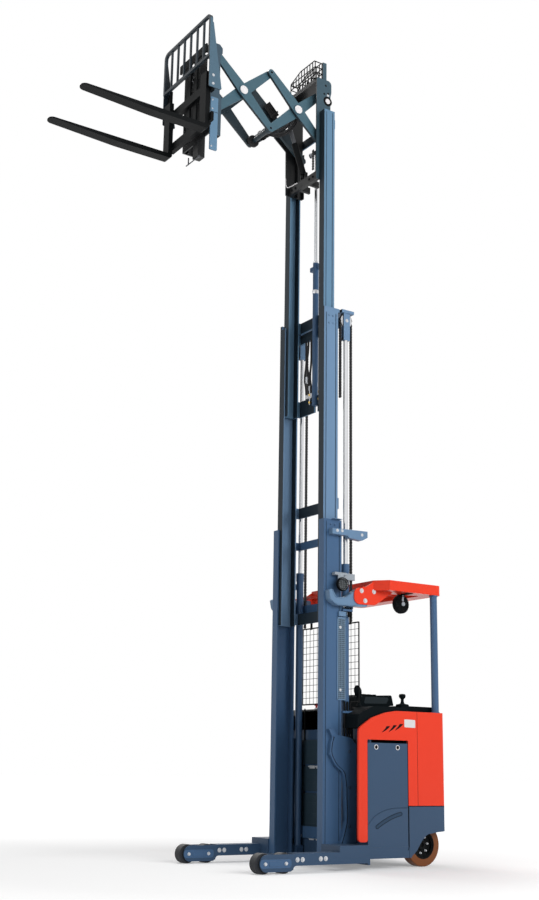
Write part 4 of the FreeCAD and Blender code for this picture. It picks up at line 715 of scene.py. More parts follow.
def chain_finish():
    """Leaf chain: plates and gaps as a wave along the run that darkens, dulls and sinks the gaps; the darker
    gaps are painted shade between the plates.
    """
    material, nodes, links, shader = new_surface("leaf_chain_run")
    shader.inputs["Metallic"].default_value = 0.15
    place = nodes.new("ShaderNodeTexCoord").outputs["Object"]
    wave = nodes.new("ShaderNodeTexWave")
    wave.wave_type, wave.bands_direction = "BANDS", "Z"
    wave.inputs["Scale"].default_value = 20.0
    links.new(place, wave.inputs["Vector"])
    links.new(mixed(nodes, links, wave.outputs["Fac"], (0.006, 0.006, 0.007), (0.035, 0.035, 0.037)),
              shader.inputs["Base Color"])
    links.new(spread(nodes, links, wave.outputs["Fac"], 0.55, 0.33), shader.inputs["Roughness"])
    raise_skin(nodes, links, shader, wave.outputs["Fac"], 0.002)
    return material


dress(chain_finish(), "lift_chain_rear_runs", "lift_chain_front_runs")

# ---------------------------------------------------------------- free lift cylinder
# One slim barrel on the third stage pushes a crosshead with two small pulleys; its chains are
# held at the stage's foot by threaded anchors with brass adjusting nuts.
free_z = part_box("free_lift_barrel")[1].z
free_x = (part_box("free_lift_ram")[0].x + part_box("free_lift_ram")[1].x) / 2 - 0.001
rings = [lathe([(free_z + 0.0005, 0.023), (free_z + 0.012, 0.023), (free_z + 0.016, 0.0195),
                (free_z + 0.022, 0.0195)], "z", (free_x, 0, 0)),
         lathe([(free_z - 0.30, 0.0275), (free_z - 0.296, 0.0292), (free_z - 0.270, 0.0292),
                (free_z - 0.266, 0.0275)], "z", (free_x, 0, 0))]
piece("free_lift_gland", rings, STEEL, "inner_mast")
anchors, nuts = [], []
anchor_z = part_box("free_lift_barrel")[0].z + 0.125
for sign in (1, -1):
    spot = (free_x + 0.004, sign * 0.072, 0)
    anchors.append(lathe([(anchor_z - 0.100, 0.0055), (anchor_z + 0.040, 0.0055)], "z", spot, 12))
    nuts.append(lathe([(anchor_z - 0.089, 0.0125), (anchor_z - 0.070, 0.0125)], "z", spot, 6))
    nuts.append(lathe([(anchor_z - 0.019, 0.0125), (anchor_z, 0.0125)], "z", spot, 6))
    anchors.append(block((free_x - 0.005, free_x + 0.013), (spot[1] - 0.009, spot[1] + 0.009),
                         (anchor_z + 0.036, anchor_z + 0.075)))
piece("chain_anchor_rods", anchors, STEEL, "inner_mast")
BRASS = finish("brass_nut", (0.62, 0.42, 0.12), 0.35, metal=1.0, dust=0.05)
piece("chain_anchor_nuts", nuts, BRASS, "inner_mast")

# ---------------------------------------------------------------- chain links and mast hoses
# Leaf chain of pressed plates on riveted pins. Inside the third stage, rubber hoses hang between
# the rails and end in plated unions near its foot.
def chain_run(x, y, low, high, half=0.0125):
    """Link plates one pitch apart between two heights: narrow ovals in pairs, and a pin at each pitch."""
    pitch = 0.0254
    heights = np.arange(low + pitch / 2, high - pitch / 2, pitch)
    plate = slab(rectangle((-0.0075, 0.0075), (-0.0118, 0.0118), 0.005), "XZ", -half, half, 0.0004, 1)
    pin = lathe([(-half - 0.0022, 0.0036), (half + 0.0022, 0.0036)], "y", turns=6)
    places = np.stack([np.full(len(heights), x), np.full(len(heights), y), heights], axis=1)
    return [copies(plate, places), copies(pin, places + (0, 0, pitch / 2))]


for name, runs, body in (("rear_chain_links", "lift_chain_rear_runs", "chassis"),
                         ("front_chain_links", "lift_chain_front_runs", "middle_mast")):
    run_low, run_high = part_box(runs)
    run_x = (run_low.x + run_high.x) / 2
    links = [part for sign in (1, -1)
             for part in chain_run(run_x, sign * cylinder_y, run_low.z, run_high.z)]
    piece(name, links, CHAIN, body)


def hose(name, route, diameter, body, material=RUBBER):
    """A rubber hose on one smooth curve led by a route's control points, joined to the truck at both ends."""
    line = bpy.data.curves.new(name, "CURVE")
    line.dimensions = "3D"
    run = line.splines.new("NURBS")
    run.points.add(len(route) - 1)
    weighted = np.concatenate([np.asarray(route, float), np.ones((len(route), 1))], axis=1)
    run.points.foreach_set("co", weighted.ravel())
    run.order_u = 3
    run.use_endpoint_u = True
    line.resolution_u = 8
    thing = bpy.data.objects.new(name, line)
    bpy.context.scene.collection.objects.link(thing)
    bare = bpy.data.meshes.new_from_object(thing)
    spots = np.empty(len(bare.vertices) * 3)
    bare.vertices.foreach_get("co", spots)
    line.bevel_depth = diameter / 2
    line.bevel_resolution = 3
    line.use_fill_caps = True
    line.materials.append(material)
    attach(thing, body)
    return thing


hose_top, hose_foot = inner_foot + 0.703, inner_foot + 0.157
tie_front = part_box("inner_mast")[0].x + 0.014
x = tie_front + 0.003
for k, (y, lean) in enumerate(((-0.150, 0.020), (-0.112, -0.015), (-0.070, 0.018))):
    route = [(x, y, hose_top), (x, y, hose_top - 0.08), (x + 0.010, y + lean, 4.330),
             (x + 0.002, y - lean, 4.190),
             (x + 0.004, y + 0.012, 4.090), (x + 0.004, y + 0.012, hose_foot)]
    hose(f"mast_hose_{k + 1}", route, 0.019, "inner_mast")
z = hose_foot - 0.002
unions = [lathe([(z, 0.0125), (z + 0.020, 0.0125), (z + 0.022, 0.0112), (z + 0.034, 0.0112)], "z",
                (tie_front + 0.007, y, 0), 6) for y in (-0.138, -0.100, -0.058)]
unions += [lathe([(4.145, 0.0150), (4.200, 0.0150)], "z", (tie_front + 0.012, -0.120, 0), 20)]
piece("mast_hose_unions", unions, ZINC, "inner_mast")

# ---------------------------------------------------------------- lift carriage
# Two flame-cut plates with roller channels, welded to a head plate and a foot bar. The outsides
# are sprayed blue and the inner faces are drawn near black as painted shade; hoses cross over behind the wire
# basket on its head.
def black_and_shade_inside_finish(name, outside, inside, edge):
    """Paint that changes with distance from the middle plane: inside up to the edge, outside beyond it. The
    inside colour is painted shade on the carriage, scissor arms and backrest, and black paint on the fork
    frame.
    """
    material, nodes, links, shader = new_surface(name)
    shader.inputs["Specular IOR Level"].default_value = 0.3
    shader.inputs["Coat Weight"].default_value = 0.06
    blend = 0.002
    side = climb(nodes, links, size_along(nodes, links, "Object", "Y"), edge - blend, edge + blend)
    slow = use_group(nodes, TONE, Swing=TONE_SWING)
    shade = mixed(nodes, links, slow, tuple(c * 0.9 for c in outside), tuple(c * 1.1 for c in outside))
    coat = mixed(nodes, links, side, inside, shade)
    bare = use_group(nodes, EDGE_WEAR, Amount=0.35)
    links.new(mixed(nodes, links, bare, coat, (0.22, 0.24, 0.27)), shader.inputs["Base Color"])
    height = use_group(nodes, RIPPLE, Fine_scale=420.0, Coarse_share=0.5)
    links.new(spread(nodes, links, height, 0.36, 0.50), shader.inputs["Roughness"])
    raise_skin(nodes, links, shader, height, 0.0002)
    return material


BLACK_AND_SHADE_INSIDE = (0.0045, 0.0052, 0.0058)
# The carriage's inner faces are near black: painted shade.
dress(black_and_shade_inside_finish("carriage_paint", (0.040, 0.078, 0.104), BLACK_AND_SHADE_INSIDE, 0.2275), "lift_carriage")

pivot_x, pivot_z = -0.75796, 6.930
head_z = pivot_z + 0.100
for k, (y, rise, back) in enumerate(((-0.12, 0.055, 0.0), (-0.06, 0.070, 0.004), (0.02, 0.060, 0.002),
                                     (0.09, 0.075, 0.006))):
    x = -0.668 - back
    route = [(x, y, head_z - 0.002), (x, y, head_z + rise), (x - 0.018, y + 0.030, head_z + rise + 0.040),
             (x - 0.024, y + 0.085, head_z + rise), (x - 0.024, y + 0.095, head_z - 0.002)]
    hose(f"head_hose_{k + 1}", route, 0.012, "lift_carriage")
ring_x, ring_z = pivot_x - 0.004, 6.812
ring = [lathe([(0.2292, 0.046), (0.2300, 0.048), (0.2325, 0.048), (0.2332, 0.045), (0.2332, 0.029),
               (0.2325, 0.027)], "y",
              (ring_x, 0, ring_z), 40)]
piece("hose_pulley_ring", ring, BLACK_PAINT, "lift_carriage")
# A white disc fills the ring's middle.
piece("hose_pulley_white_centre", [lathe([(0.2320, 0.026), (0.2336, 0.026), (0.2341, 0.024)], "y",
                                (ring_x, 0, ring_z), 28)], WHITE_CAP, "lift_carriage")
# Black discs on the plate stand for its holes: painted shade in them.
holes = [lathe([(0.2290, 0.011), (0.2305, 0.011)], "y", (pivot_x + dx, 0, z), 20)
         for dx, z in ((0.018, head_z - 0.060), (-0.010, 6.895), (0.034, 6.880))]
piece("carriage_plate_hole_shades", holes, BLACK_PAINT, "lift_carriage")
clamp = [block((ring_x - 0.016, ring_x + 0.010), (0.2292, 0.2325), (6.864, 6.884), 0.0008)]
piece("pulley_clamp", clamp, ZINC, "lift_carriage")
piece("carriage_chain", chain_run(-0.618, 0.2045, 6.075, 6.290, 0.008), CHAIN, "lift_carriage")
cable = [(-0.600, -0.2185, 6.160), (-0.590, -0.204, 6.105), (-0.590, -0.180, 6.040),
         (-0.592, -0.100, 6.030), (-0.612, -0.040, 6.045)]
hose("carriage_cable", cable, 0.008, "lift_carriage", material=WHITE_CAP)
carriage_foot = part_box("lift_carriage")[0].z
foot_bolts = bolts([(-0.6405, y, carriage_foot + 0.040) for y in (-0.17, -0.11, 0.11, 0.17)],
                   (1, 0, 0), radius=0.009)
piece("carriage_foot_bolts", foot_bolts, BLACK_PAINT, "lift_carriage")

# ---------------------------------------------------------------- scissor
# Eight tapered flame-cut bars with welded hub bosses. Round caps close the two middle hubs, and
# the corner pins are held by bolted keeper plates.
ARM_BLUE = finish("scissor_blue", (0.062, 0.122, 0.162), 0.40, coat=0.08, worn=(0.2, 0.24, 0.27), wear=0.4,
                  dust=0.03, specular=0.3)
# The arms' inner faces are darker than their outer faces: painted shade.
ARM_PAINTED_SHADE = (0.014, 0.028, 0.038)
dress(black_and_shade_inside_finish("inner_arm_paint", (0.055, 0.115, 0.150), ARM_PAINTED_SHADE, 0.150), "rear_inner_arms",
      "front_inner_arms")
dress(black_and_shade_inside_finish("outer_arm_paint", (0.055, 0.115, 0.150), ARM_PAINTED_SHADE, 0.180), "rear_outer_arms",
      "front_outer_arms")
rear_hub, front_hub = (-0.4605, 6.6478), (0.1343, 6.6478)
top_joint, low_joint = (-0.1631, 6.930), (-0.1631, 6.3655)
for name, hub, body in (("rear", rear_hub, "rear_inner_arms"), ("front", front_hub, "front_inner_arms")):
    caps, rims = [], []
    for sign in (1, -1):
        cap = [(0.1905, 0.040), (0.1925, 0.040), (0.1935, 0.0385), (0.1935, 0.013), (0.1945, 0.012),
               (0.1945, 0.002)]
        caps.append(lathe([(sign * a, r) for a, r in cap], "y", (hub[0], 0, hub[1]), 36))
        rim = [(0.1830, 0.0462), (0.1835, 0.0500), (0.1850, 0.0500), (0.1856, 0.0462)]
        rims.append(lathe([(sign * a, r) for a, r in rim], "y", (hub[0], 0, hub[1]), 36))
    piece(name + "_hub_caps", caps, WHITE_CAP, body)
    piece(name + "_hub_rims", rims, ARM_BLUE, body)
for name, joint, body in (("top", top_joint, "rear_outer_arms"), ("low", low_joint, "front_outer_arms")):
    keepers, heads = [], []
    for sign in (1, -1):
        keeper = [(sign * 0.1826, 0.0205), (sign * 0.1850, 0.0205), (sign * 0.1858, 0.0190)]
        keepers.append(lathe(keeper, "y", (joint[0], 0, joint[1]), 28))
        heads += bolts([(joint[0], sign * 0.1855, joint[1])], (0, sign, 0), radius=0.0075, height=0.005)
    piece(name + "_joint_keepers", keepers, ARM_BLUE, body)
    piece(name + "_joint_bolts", heads, BLACK_PAINT, body)


def along(start, stop, share, off=0.0):
    """A point at a share of the way from one pin to another, off to the side of the line by a length."""
    run = np.subtract(stop, start)
    side = np.array((-run[1], run[0])) / np.linalg.norm(run)
    return np.asarray(start) + run * share + side * off


bundle_y = -0.110
for name, end, body, last, straps in (("low", low_joint, "rear_inner_arms", 0.74, (0.24, 0.68)),
                                      ("top", top_joint, "rear_outer_arms", 0.53, (0.24,))):
    tubes = []
    for off in (-0.033, -0.011, 0.011, 0.033):
        line = [along(rear_hub, end, share, off) for share in (0.16, 0.30, 0.42, last)]
        tubes.append(swept(bent([(p[0], bundle_y, p[1]) for p in line], 0.02), ring_section(0.0105)))
    for share in straps:
        line = along(rear_hub, end, share - 0.02), along(rear_hub, end, share + 0.02)
        strap = [(p[0], bundle_y, p[1]) for p in line]
        tubes.append(swept(strap, rectangle((-0.014, 0.014), (-0.047, 0.047))))
    piece(name + "_arm_hoses", tubes, RUBBER, body)
for k, (y, sag, first, last) in enumerate(((0.1195, -0.060, 0.00, 0.93), (0.1010, -0.095, -0.10, 0.97),
                                           (0.0825, -0.118, -0.14, 0.98), (0.0640, -0.105, -0.12, 0.95),
                                           (0.0455, -0.075, -0.05, 0.90))):
    ends = along(rear_hub, low_joint, first, -0.020), along(rear_hub, low_joint, last, -0.012)
    drops = [along(rear_hub, low_joint, first + (last - first) * share, sag * depth)
             for share, depth in ((0.12, 0.75), (0.40, 1.0), (0.66, 1.0), (0.90, 0.62))]
    hose(f"arm_hose_{k + 1}", [(x, y, z) for x, z in (ends[0], *drops, ends[1])], 0.017, "rear_inner_arms")
bumper = [(-0.1265, 0.050), (-0.1250, 0.056), (-0.1020, 0.056), (-0.0960, 0.050), (-0.0945, 0.020)]
piece("low_joint_bumper", [lathe(bumper, "y", (low_joint[0], 0, low_joint[1]), 36)], RUBBER,
      "rear_inner_arms")

# ---------------------------------------------------------------- fork frame, backrest and forks
# A black welded frame with a blue cover on its left side carries a tilting, side-shifting fork
# carriage. The forged forks hook over its bars, and the barred backrest is bolted on by its cheeks.
# The backrest's bars inside its cheeks are near black: painted shade; the cheeks' outer faces keep the blue.
dress(black_and_shade_inside_finish("backrest_paint", (0.082, 0.150, 0.208), (0.015, 0.024, 0.033), 0.4135),
      "load_backrest")
dress(black_and_shade_inside_finish("fork_frame_paint", (0.062, 0.108, 0.150), BLACK_AND_SHADE_INSIDE, 0.2352), "fork_frame")
cover_low, cover_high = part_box("frame_cover")
seam_z = cover_low.z + 0.36
seams = [block((cover_low.x + 0.001, cover_high.x - 0.001), (cover_high.y - 0.0005, cover_high.y + 0.0008),
               (seam_z, seam_z + 0.004), 0.0003)]
piece("cover_seam", seams, BLACK_PAINT, "fork_frame")
bolt_heights = (cover_low.z + 0.03, seam_z - 0.03, seam_z + 0.03, cover_high.z - 0.03)
frame_bolts = bolts([(cover_high.x - 0.016, cover_high.y, z) for z in bolt_heights], (0, 1, 0),
                    radius=0.0055, height=0.004)
piece("cover_bolts", frame_bolts, ZINC, "fork_frame")
back_low, back_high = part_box("load_backrest")
cheek_bolts = []
for sign in (1, -1):
    face = back_high.y if sign > 0 else back_low.y
    cheek_bolts += bolts([(back_high.x - 0.045, face, back_low.z + 0.035),
                          (back_high.x - 0.045, face, back_low.z + 0.115)],
                         (0, sign, 0), radius=0.009, height=0.006)
piece("backrest_bolts", cheek_bolts, ZINC, "fork_carriage")
GUNMETAL_AND_SHADE = finish("dark_metal_and_shade", (0.10, 0.105, 0.115), 0.38, metal=0.7, dust=0.04, bump=0.01)
# The reach rod is drawn in a dark grey metal finish in place of chrome: painted shade.
dress(GUNMETAL_AND_SHADE, "reach_rod")
frame_low_corner, frame_high_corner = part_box("fork_frame")
column_x = frame_high_corner.x - 0.040
foot_z = frame_low_corner.z
stub = (column_x - 0.015, column_x - 0.005)
hangers = [block(stub, (-0.150, -0.142), (foot_z - 0.010, foot_z + 0.060), 0.001),
           lathe([(-0.185, 0.0055), (0.040, 0.0055)], "y", (column_x - 0.010, 0, foot_z - 0.004), 12),
           lathe([(0.030, 0.0105), (0.046, 0.0105)], "y", (column_x - 0.010, 0, foot_z - 0.004), 16)]
piece("hose_hanger_bar", hangers, GUNMETAL_AND_SHADE, "fork_frame")
face_x = frame_high_corner.x - 0.034
fittings, clips = [], []
for k, (y, z) in enumerate(((-0.064, 6.765), (-0.077, 6.735))):
    front = face_x + 0.005
    ends = (z, z - 0.175)
    for end in ends:
        fittings.append(lathe([(end - 0.012, 0.0085), (end + 0.012, 0.0085)], "z", (front, y, 0), 6))
        clips.append(block((face_x - 0.010, front), (y, -0.049), (end - 0.005, end + 0.005), 0.0006))
    route = [(front, y, ends[0]), (front, y - 0.004, z - 0.030), (front + 0.003, y - 0.040, z - 0.070),
             (front, y - 0.010, z - 0.115), (front, y, z - 0.145), (front, y, ends[1])]
    hose(f"frame_hose_{k + 1}", route, 0.011, "fork_frame")
piece("frame_hose_clips", clips, BLACK_PAINT, "fork_frame")
piece("frame_hose_fittings", fittings, ZINC, "fork_frame")
latches = []
fork_tip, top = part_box("forks")[1].x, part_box("forks")[1].z
blade_length, shank_depth = 1.135, 0.042
shank_x = fork_tip - blade_length - shank_depth
for y in (0.323, -0.323):
    latches.append(lathe([(top - 0.008, 0.011), (top + 0.016, 0.011), (top + 0.018, 0.009)], "z",
                         (shank_x + 0.018, y, 0), 20))
    latches.append(block((shank_x + 0.010, shank_x + 0.026), (y - 0.020, y + 0.020),
                         (top + 0.012, top + 0.020), 0.002))
piece("fork_latches", latches, BLACK_PAINT, "fork_carriage")

# ---------------------------------------------------------------- mast gussets and battery bay
# Flame-cut gussets with a welded lip tie the mast to the frame. Between the rails shows the front
# wall of the battery bay, pressed with ribs and closed by four plated latches.
def wire_ring(radius, wire, direction, centre, turns=32, sides=8):
    """A round wire bent to a ring: radius + wire cos a outwards and wire sin a along the line."""
    a = np.linspace(0, 2 * np.pi, sides, endpoint=False)
    return hoop(np.stack([wire * np.sin(a), radius + wire * np.cos(a)], axis=1), direction, centre, turns)


BODY_SLATE = finish("body_slate_paint", (0.028, 0.060, 0.114), 0.42, coat=0.08, worn=(0.14, 0.17, 0.21),
                    wear=0.35, dust=0.05, specular=0.3)
# Near-black finish for seam lines and for painted shadow: beside the gusset lips, along the door recess and
# in the pull holes.
SEAM_AND_SHADE = finish("seam_shadow", (0.006, 0.006, 0.007), 0.75, dust=0.02, specular=0.1)
dress(BODY_SLATE, "battery_gates", "side_skirts", "chassis_frame", "straddle_legs")
gusset_edge = [(0.734, 1.073), (0.771, 1.014), (0.752, 0.968), (0.743, 0.879), (0.800, 0.791),
               (0.877, 0.740), (0.896, 0.643), (0.906, 0.364), (0.877, 0.263), (0.849, 0.192)]
gusset_face = 0.408
lip_section = rectangle((-0.006, 0.006), (-0.006, 0.006))
shadow_section = rectangle((-0.006, 0.006), (-0.0012, 0.0006))
lips, shades, gusset_bolts = [], [], []
for sign in (1, -1):
    lip = bent([(behind(d + 0.007), sign * gusset_face, z) for d, z in gusset_edge], 0.035, 4)
    lips.append(swept(lip, lip_section, up=(0, 1, 0)))
    # A dark strip inside each lip: painted shadow of the lip.
    shade = bent([(behind(d + 0.018), sign * (gusset_face + 0.0006), z) for d, z in gusset_edge[1:]],
                 0.035, 4)
    shades.append(swept(shade, shadow_section, up=(0, 1, 0)))
    gusset_bolts += bolts([(behind(0.945), sign * gusset_face, z) for z in (0.32, 0.62, 0.90)],
                          (0, sign, 0), 0.010)
piece("gusset_lips", lips, SLATE, "chassis")
piece("gusset_weld_shadows", shades, SEAM_AND_SHADE, "chassis")
piece("gusset_bolts", gusset_bolts, BODY_SLATE, "chassis")

BAY_TEAL = finish("bay_paint", (0.018, 0.036, 0.052), 0.45, coat=0.05, worn=(0.10, 0.13, 0.15), wear=0.3,
                  dust=0.06, specular=0.3)
bay_x = behind(1.026)
panels, latches = [], []
for y in (-0.235, 0.235):
    for low, high in ((0.215, 0.560), (0.580, 0.780), (0.800, 1.000)):
        outline = rectangle((y - 0.215, y + 0.215), (low, high), 0.012)
        panels.append(slab(outline, "YZ", bay_x - 0.002, bay_x + 0.010, 0.004))
    for z in (0.300, 0.385, 0.470, 0.640, 0.700, 0.860, 0.930):
        panels.append(block((bay_x + 0.008, bay_x + 0.014), (y - 0.19, y + 0.19), (z, z + 0.014), 0.003))
for z in (0.775, 0.195):
    for y in (-0.20, -0.10):
        latches.append(block((bay_x + 0.008, bay_x + 0.024), (y - 0.034, y + 0.034),
                             (z - 0.012, z + 0.012), 0.003))
        latches.append(lathe([(y - 0.046, 0.006), (y + 0.046, 0.006)], "y",
                             (bay_x + 0.022, 0, z + 0.004), 12))
piece("bay_panels", panels, BAY_TEAL, "chassis")
piece("bay_latches", latches, ZINC, "chassis")

# ---------------------------------------------------------------- side cowls and battery doors
# Pressed steel cowls in orange red, with three slanted air slots and a blank number plate on each
# side. The slate door is a hinged plate with ring pulls, a pressed arc and a long hand slot.
def faced(sign, face, low, high):
    """The two places along Y, by their heights above a face on one side."""
    return sorted((sign * (face + low), sign * (face + high)))


PLATE_GREY = finish("blank_plate", (0.60, 0.60, 0.60), 0.45, dust=0.03, specular=0.3)
# Darker slate for painted shade in the door's hand slot and on its pressed arc.
SLOT_SLATE = finish("slot_shadow", (0.024, 0.048, 0.086), 0.5, dust=0.03, specular=0.2)
cowl_face, gate_face, slot_thick = 0.590, 0.587, 0.022
slots, plates, pulls, pull_hole_shades, seams, beads, hand_slots, hand_rims = [], [], [], [], [], [], [], []
for sign in (1, -1):
    for d, z, run, rise in ((1.128, 1.050, 0.097, 0.057), (1.197, 1.055, 0.098, 0.062),
                            (1.262, 1.068, 0.100, 0.060)):
        outline = [(behind(d), z, 0.002), (behind(d + run * 0.55), z + rise * 0.45, 0.02),
                   (behind(d + run), z + rise, 0.003),
                   (behind(d + run - 0.040), z + rise, 0.003),
                   (behind(d + run * 0.45), z + rise * 0.5 + slot_thick / 2, 0.02)]
        slots.append(slab(outline, "XZ", *faced(sign, cowl_face, -0.001, 0.0012), 0.0004, 3))
    outline = [(behind(1.370), 1.103, 0.008), (behind(1.486), 1.100, 0.008),
               (behind(1.486), 1.164, 0.008), (behind(1.370), 1.167, 0.008)]
    plates.append(slab(outline, "XZ", *faced(sign, cowl_face, -0.001, 0.0018), 0.0006))
    for d in (1.078, 1.299):
        spot = (behind(d), sign * gate_face, 0.939)
        way = (0, sign, 0)
        # The ring pulls are chromed rings drawn in flat white: painted reflection.
        pulls.append(hoop([(-0.001, 0.0150), (0.0030, 0.0150), (0.0042, 0.0172), (0.0030, 0.0195),
                           (-0.001, 0.0195)], way, spot))
        # A dark disc inside each ring: painted shade in the hole.
        pull_hole_shades.append(lathe([(-0.001, 0.0152), (0.0009, 0.0152)], way, spot, 28))
    seams.append(block((behind(1.5078), behind(1.5042)), faced(sign, cowl_face, -0.003, 0.0003),
                       (0.478, 1.228), 0.0003))
    seams.append(block((behind(1.786), behind(1.402)), faced(sign, cowl_face, -0.003, 0.0004),
                       (0.4765, 0.4835), 0.0003))
    # This wider strip along the door's edge is painted shadow in the recess beside the door; the thinner
    # strips are seam lines.
    seams.append(block((behind(1.4105), behind(1.4020)), faced(sign, gate_face, -0.002, 0.0016),
                       (0.482, 0.995), 0.0003))
    seams.append(block((behind(0.9895), behind(0.9860)), faced(sign, gate_face, -0.002, 0.0016),
                       (0.212, 0.995), 0.0003))
    down = bent([(behind(1.408), sign * gate_face, 0.476), (behind(1.408), sign * gate_face, 0.165),
                 (behind(1.396), sign * gate_face, 0.140)], 0.05)
    seams.append(swept(down, ring_section(0.0030, 8)))
    # The pressed arc is a thin bead in darker slate: painted shadow line.
    arc = [(0.992, 0.340), (1.060, 0.408), (1.155, 0.448), (1.240, 0.464), (1.330, 0.468), (1.400, 0.468)]
    beads.append(swept(bent([(behind(d), sign * gate_face, z) for d, z in arc], 0.04),
                       ring_section(0.0035, 8)))
    along_slot = np.linspace(0, 1, 13)
    centre_d = 1.084 + 0.241 * along_slot
    centre_z = 0.323 + 0.098 * along_slot + 0.050 * along_slot * (1 - along_slot)
    slope = np.stack([-np.gradient(centre_d), np.gradient(centre_z)], axis=1)
    slope /= np.linalg.norm(slope, axis=1, keepdims=True)
    across_slot = np.stack([-slope[:, 1], slope[:, 0]], axis=1)
    middle = np.stack([behind(centre_d), centre_z], axis=1)
    turn = np.linspace(-np.pi / 2, np.pi / 2, 9)[1:-1, None]
    half_slot = 0.0135
    tail = middle[-1] + half_slot * (np.cos(turn) * slope[-1] - np.sin(-turn) * across_slot[-1])
    nose = middle[0] - half_slot * (np.cos(turn) * slope[0] + np.sin(turn) * across_slot[0])
    oval = np.concatenate([middle - half_slot * across_slot, tail,
                           (middle + half_slot * across_slot)[::-1], nose])
    # The slot's face is darker slate and its rim near black: painted shade in the slot and along its edge.
    hand_slots.append(slab(oval.tolist(), "XZ", *faced(sign, gate_face, -0.001, 0.0012), 0.0003))
    around = np.concatenate([oval, oval[:1]])
    rim = np.stack([around[:, 0], np.full(len(around), sign * (gate_face + 0.001)), around[:, 1]], axis=1)
    hand_rims.append(swept(rim, ring_section(0.0030, 8), up=(0, 1, 0)))
piece("cowl_air_slots", slots, SEAM_AND_SHADE, "chassis")
piece("cowl_blank_plates", plates, PLATE_GREY, "chassis")
piece("door_ring_pulls", pulls, WHITE_CAP, "chassis")
piece("door_pull_hole_shades", pull_hole_shades, SEAM_AND_SHADE, "chassis")
piece("cowl_seams_and_recess_shadow", seams, SEAM_AND_SHADE, "chassis")
piece("door_arc_beads", beads, SLOT_SLATE, "chassis")
piece("door_hand_slots", hand_slots, SLOT_SLATE, "chassis")
piece("door_slot_rims", hand_rims, RAIL_SHADOW, "chassis")

# ---------------------------------------------------------------- rear of the body
# The rear cowls carry louvres for the drive motor and are screwed to the frame. The skirts under
# them are bolted and lift off to reach the wheels.
back_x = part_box("rear_cowls")[0].x
louvres, rear_screws = [], []
for z in np.arange(0.72, 1.08, 0.040):
    profile = [(back_x + 0.001, z - 0.002), (back_x - 0.007, z + 0.004), (back_x - 0.007, z + 0.009),
               (back_x + 0.001, z + 0.022)]
    louvres.append(slab(profile, "XZ", 0.235, 0.520, 0.0008))
for sign, spread_y in ((1, (0.165, 0.525)), (-1, (-0.505, -0.535))):
    for y in spread_y:
        for z in (0.53, 1.17, 0.32):
            rear_screws += bolts([(back_x, y, z)], (-1, 0, 0), radius=0.007, height=0.004)
piece("rear_louvres", louvres, ORANGE_RED, "chassis")
piece("rear_screws", rear_screws, ZINC, "chassis")

# ---------------------------------------------------------------- drive wheel and caster
# A cast hub bolted to the drive by nuts on a ring, inside a thick amber polyurethane tyre. The
# caster turns on its own axle bolt in a plain fork.
wheel_low, wheel_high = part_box("drive_wheel")
drive_x, drive_y, drive_z = ((wheel_low[k] + wheel_high[k]) / 2 for k in range(3))
hub_face = wheel_high.y - 0.032
ring_angles = np.linspace(0, 2 * np.pi, 7, endpoint=False) + 0.35
nut_places = [(drive_x + 0.066 * np.cos(a), hub_face, drive_z + 0.066 * np.sin(a)) for a in ring_angles]
hub_nuts = bolts(nut_places, (0, 1, 0), radius=0.0075, height=0.012, washer=1.25)
piece("drive_hub_nuts", hub_nuts, ZINC, "drive_wheel")
rim_edges = [wire_ring(0.1095, 0.0035, "y", (drive_x, wheel_high.y - 0.001, drive_z), 48),
             wire_ring(0.0900, 0.0025, "y", (drive_x, wheel_high.y - 0.0035, drive_z), 48)]
piece("drive_rim_edges", rim_edges, BLACK_PAINT, "drive_wheel")
wear_ring = [(0.0, 0.1705), (0.0022, 0.1712), (0.0044, 0.1705)]
shadow_strips_and_wear_rings = [hoop(wear_ring, "y", (drive_x, drive_y + y, drive_z), 64) for y in (-0.030, 0.026)]
piece("drive_tyre_wear_rings", shadow_strips_and_wear_rings, AMBER_TYRE, "drive_wheel")
fork_low_corner, fork_high_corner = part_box("caster_fork")
caster_low, caster_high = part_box("caster_wheel")
caster_x, caster_z = (caster_low.x + caster_high.x) / 2, (caster_low.z + caster_high.z) / 2
caster_bolts = bolts([(caster_x, fork_high_corner.y, caster_z)], (0, 1, 0), radius=0.011, height=0.008)
caster_bolts += bolts([(caster_x, fork_low_corner.y, caster_z)], (0, -1, 0), radius=0.011, height=0.008)
piece("caster_axle_bolts", caster_bolts, ZINC, "caster_fork")

# ---------------------------------------------------------------- operator guard
# A folded steel roof in orange red whose two side lobes bolt to arms on the mast; steel posts
# with collars carry its rear half. The bolts are zinc plated with wide washers.
lobe_bolts, roof_folds = [], []
for sign in (1, -1):
    places = [(behind(d), sign * 0.450, z) for d, z in ((1.041, 2.212), (1.172, 2.215), (1.079, 2.131))]
    lobe_bolts += bolts(places, (0, sign, 0), radius=0.0135, height=0.008, washer=1.5)
    fold = bent([(behind(1.20), sign * 0.4505, 2.306), (behind(1.255), sign * 0.4505, 2.245),
                 (behind(1.36), sign * 0.4505, 2.226)], 0.03)
    roof_folds.append(swept(fold, ring_section(0.0035, 8)))
piece("guard_lobe_bolts", lobe_bolts, ZINC, "chassis")
piece("guard_folds", roof_folds, ORANGE_RED, "chassis")
collars = []
for d, y, foot in ((1.762, 0.525, 1.231), (1.385, -0.525, 1.262)):
    low_collar = [(foot + 0.0008, 0.037), (foot + 0.007, 0.037), (foot + 0.009, 0.0355),
                  (foot + 0.010, 0.0325)]
    for collar in (low_collar, [(2.212, 0.0325), (2.2165, 0.037), (2.2235, 0.037)]):
        collars.append(lathe(collar, "z", (behind(d), y, 0), 36))
piece("post_collars", collars, SLATE, "chassis")
bracket_welds = []
upper_edge = ((0.745, 2.196), (0.785, 2.130), (0.885, 2.140), (1.000, 2.215))
lower_edge = ((0.712, 2.190), (0.728, 2.118), (0.800, 2.079), (1.000, 2.085))
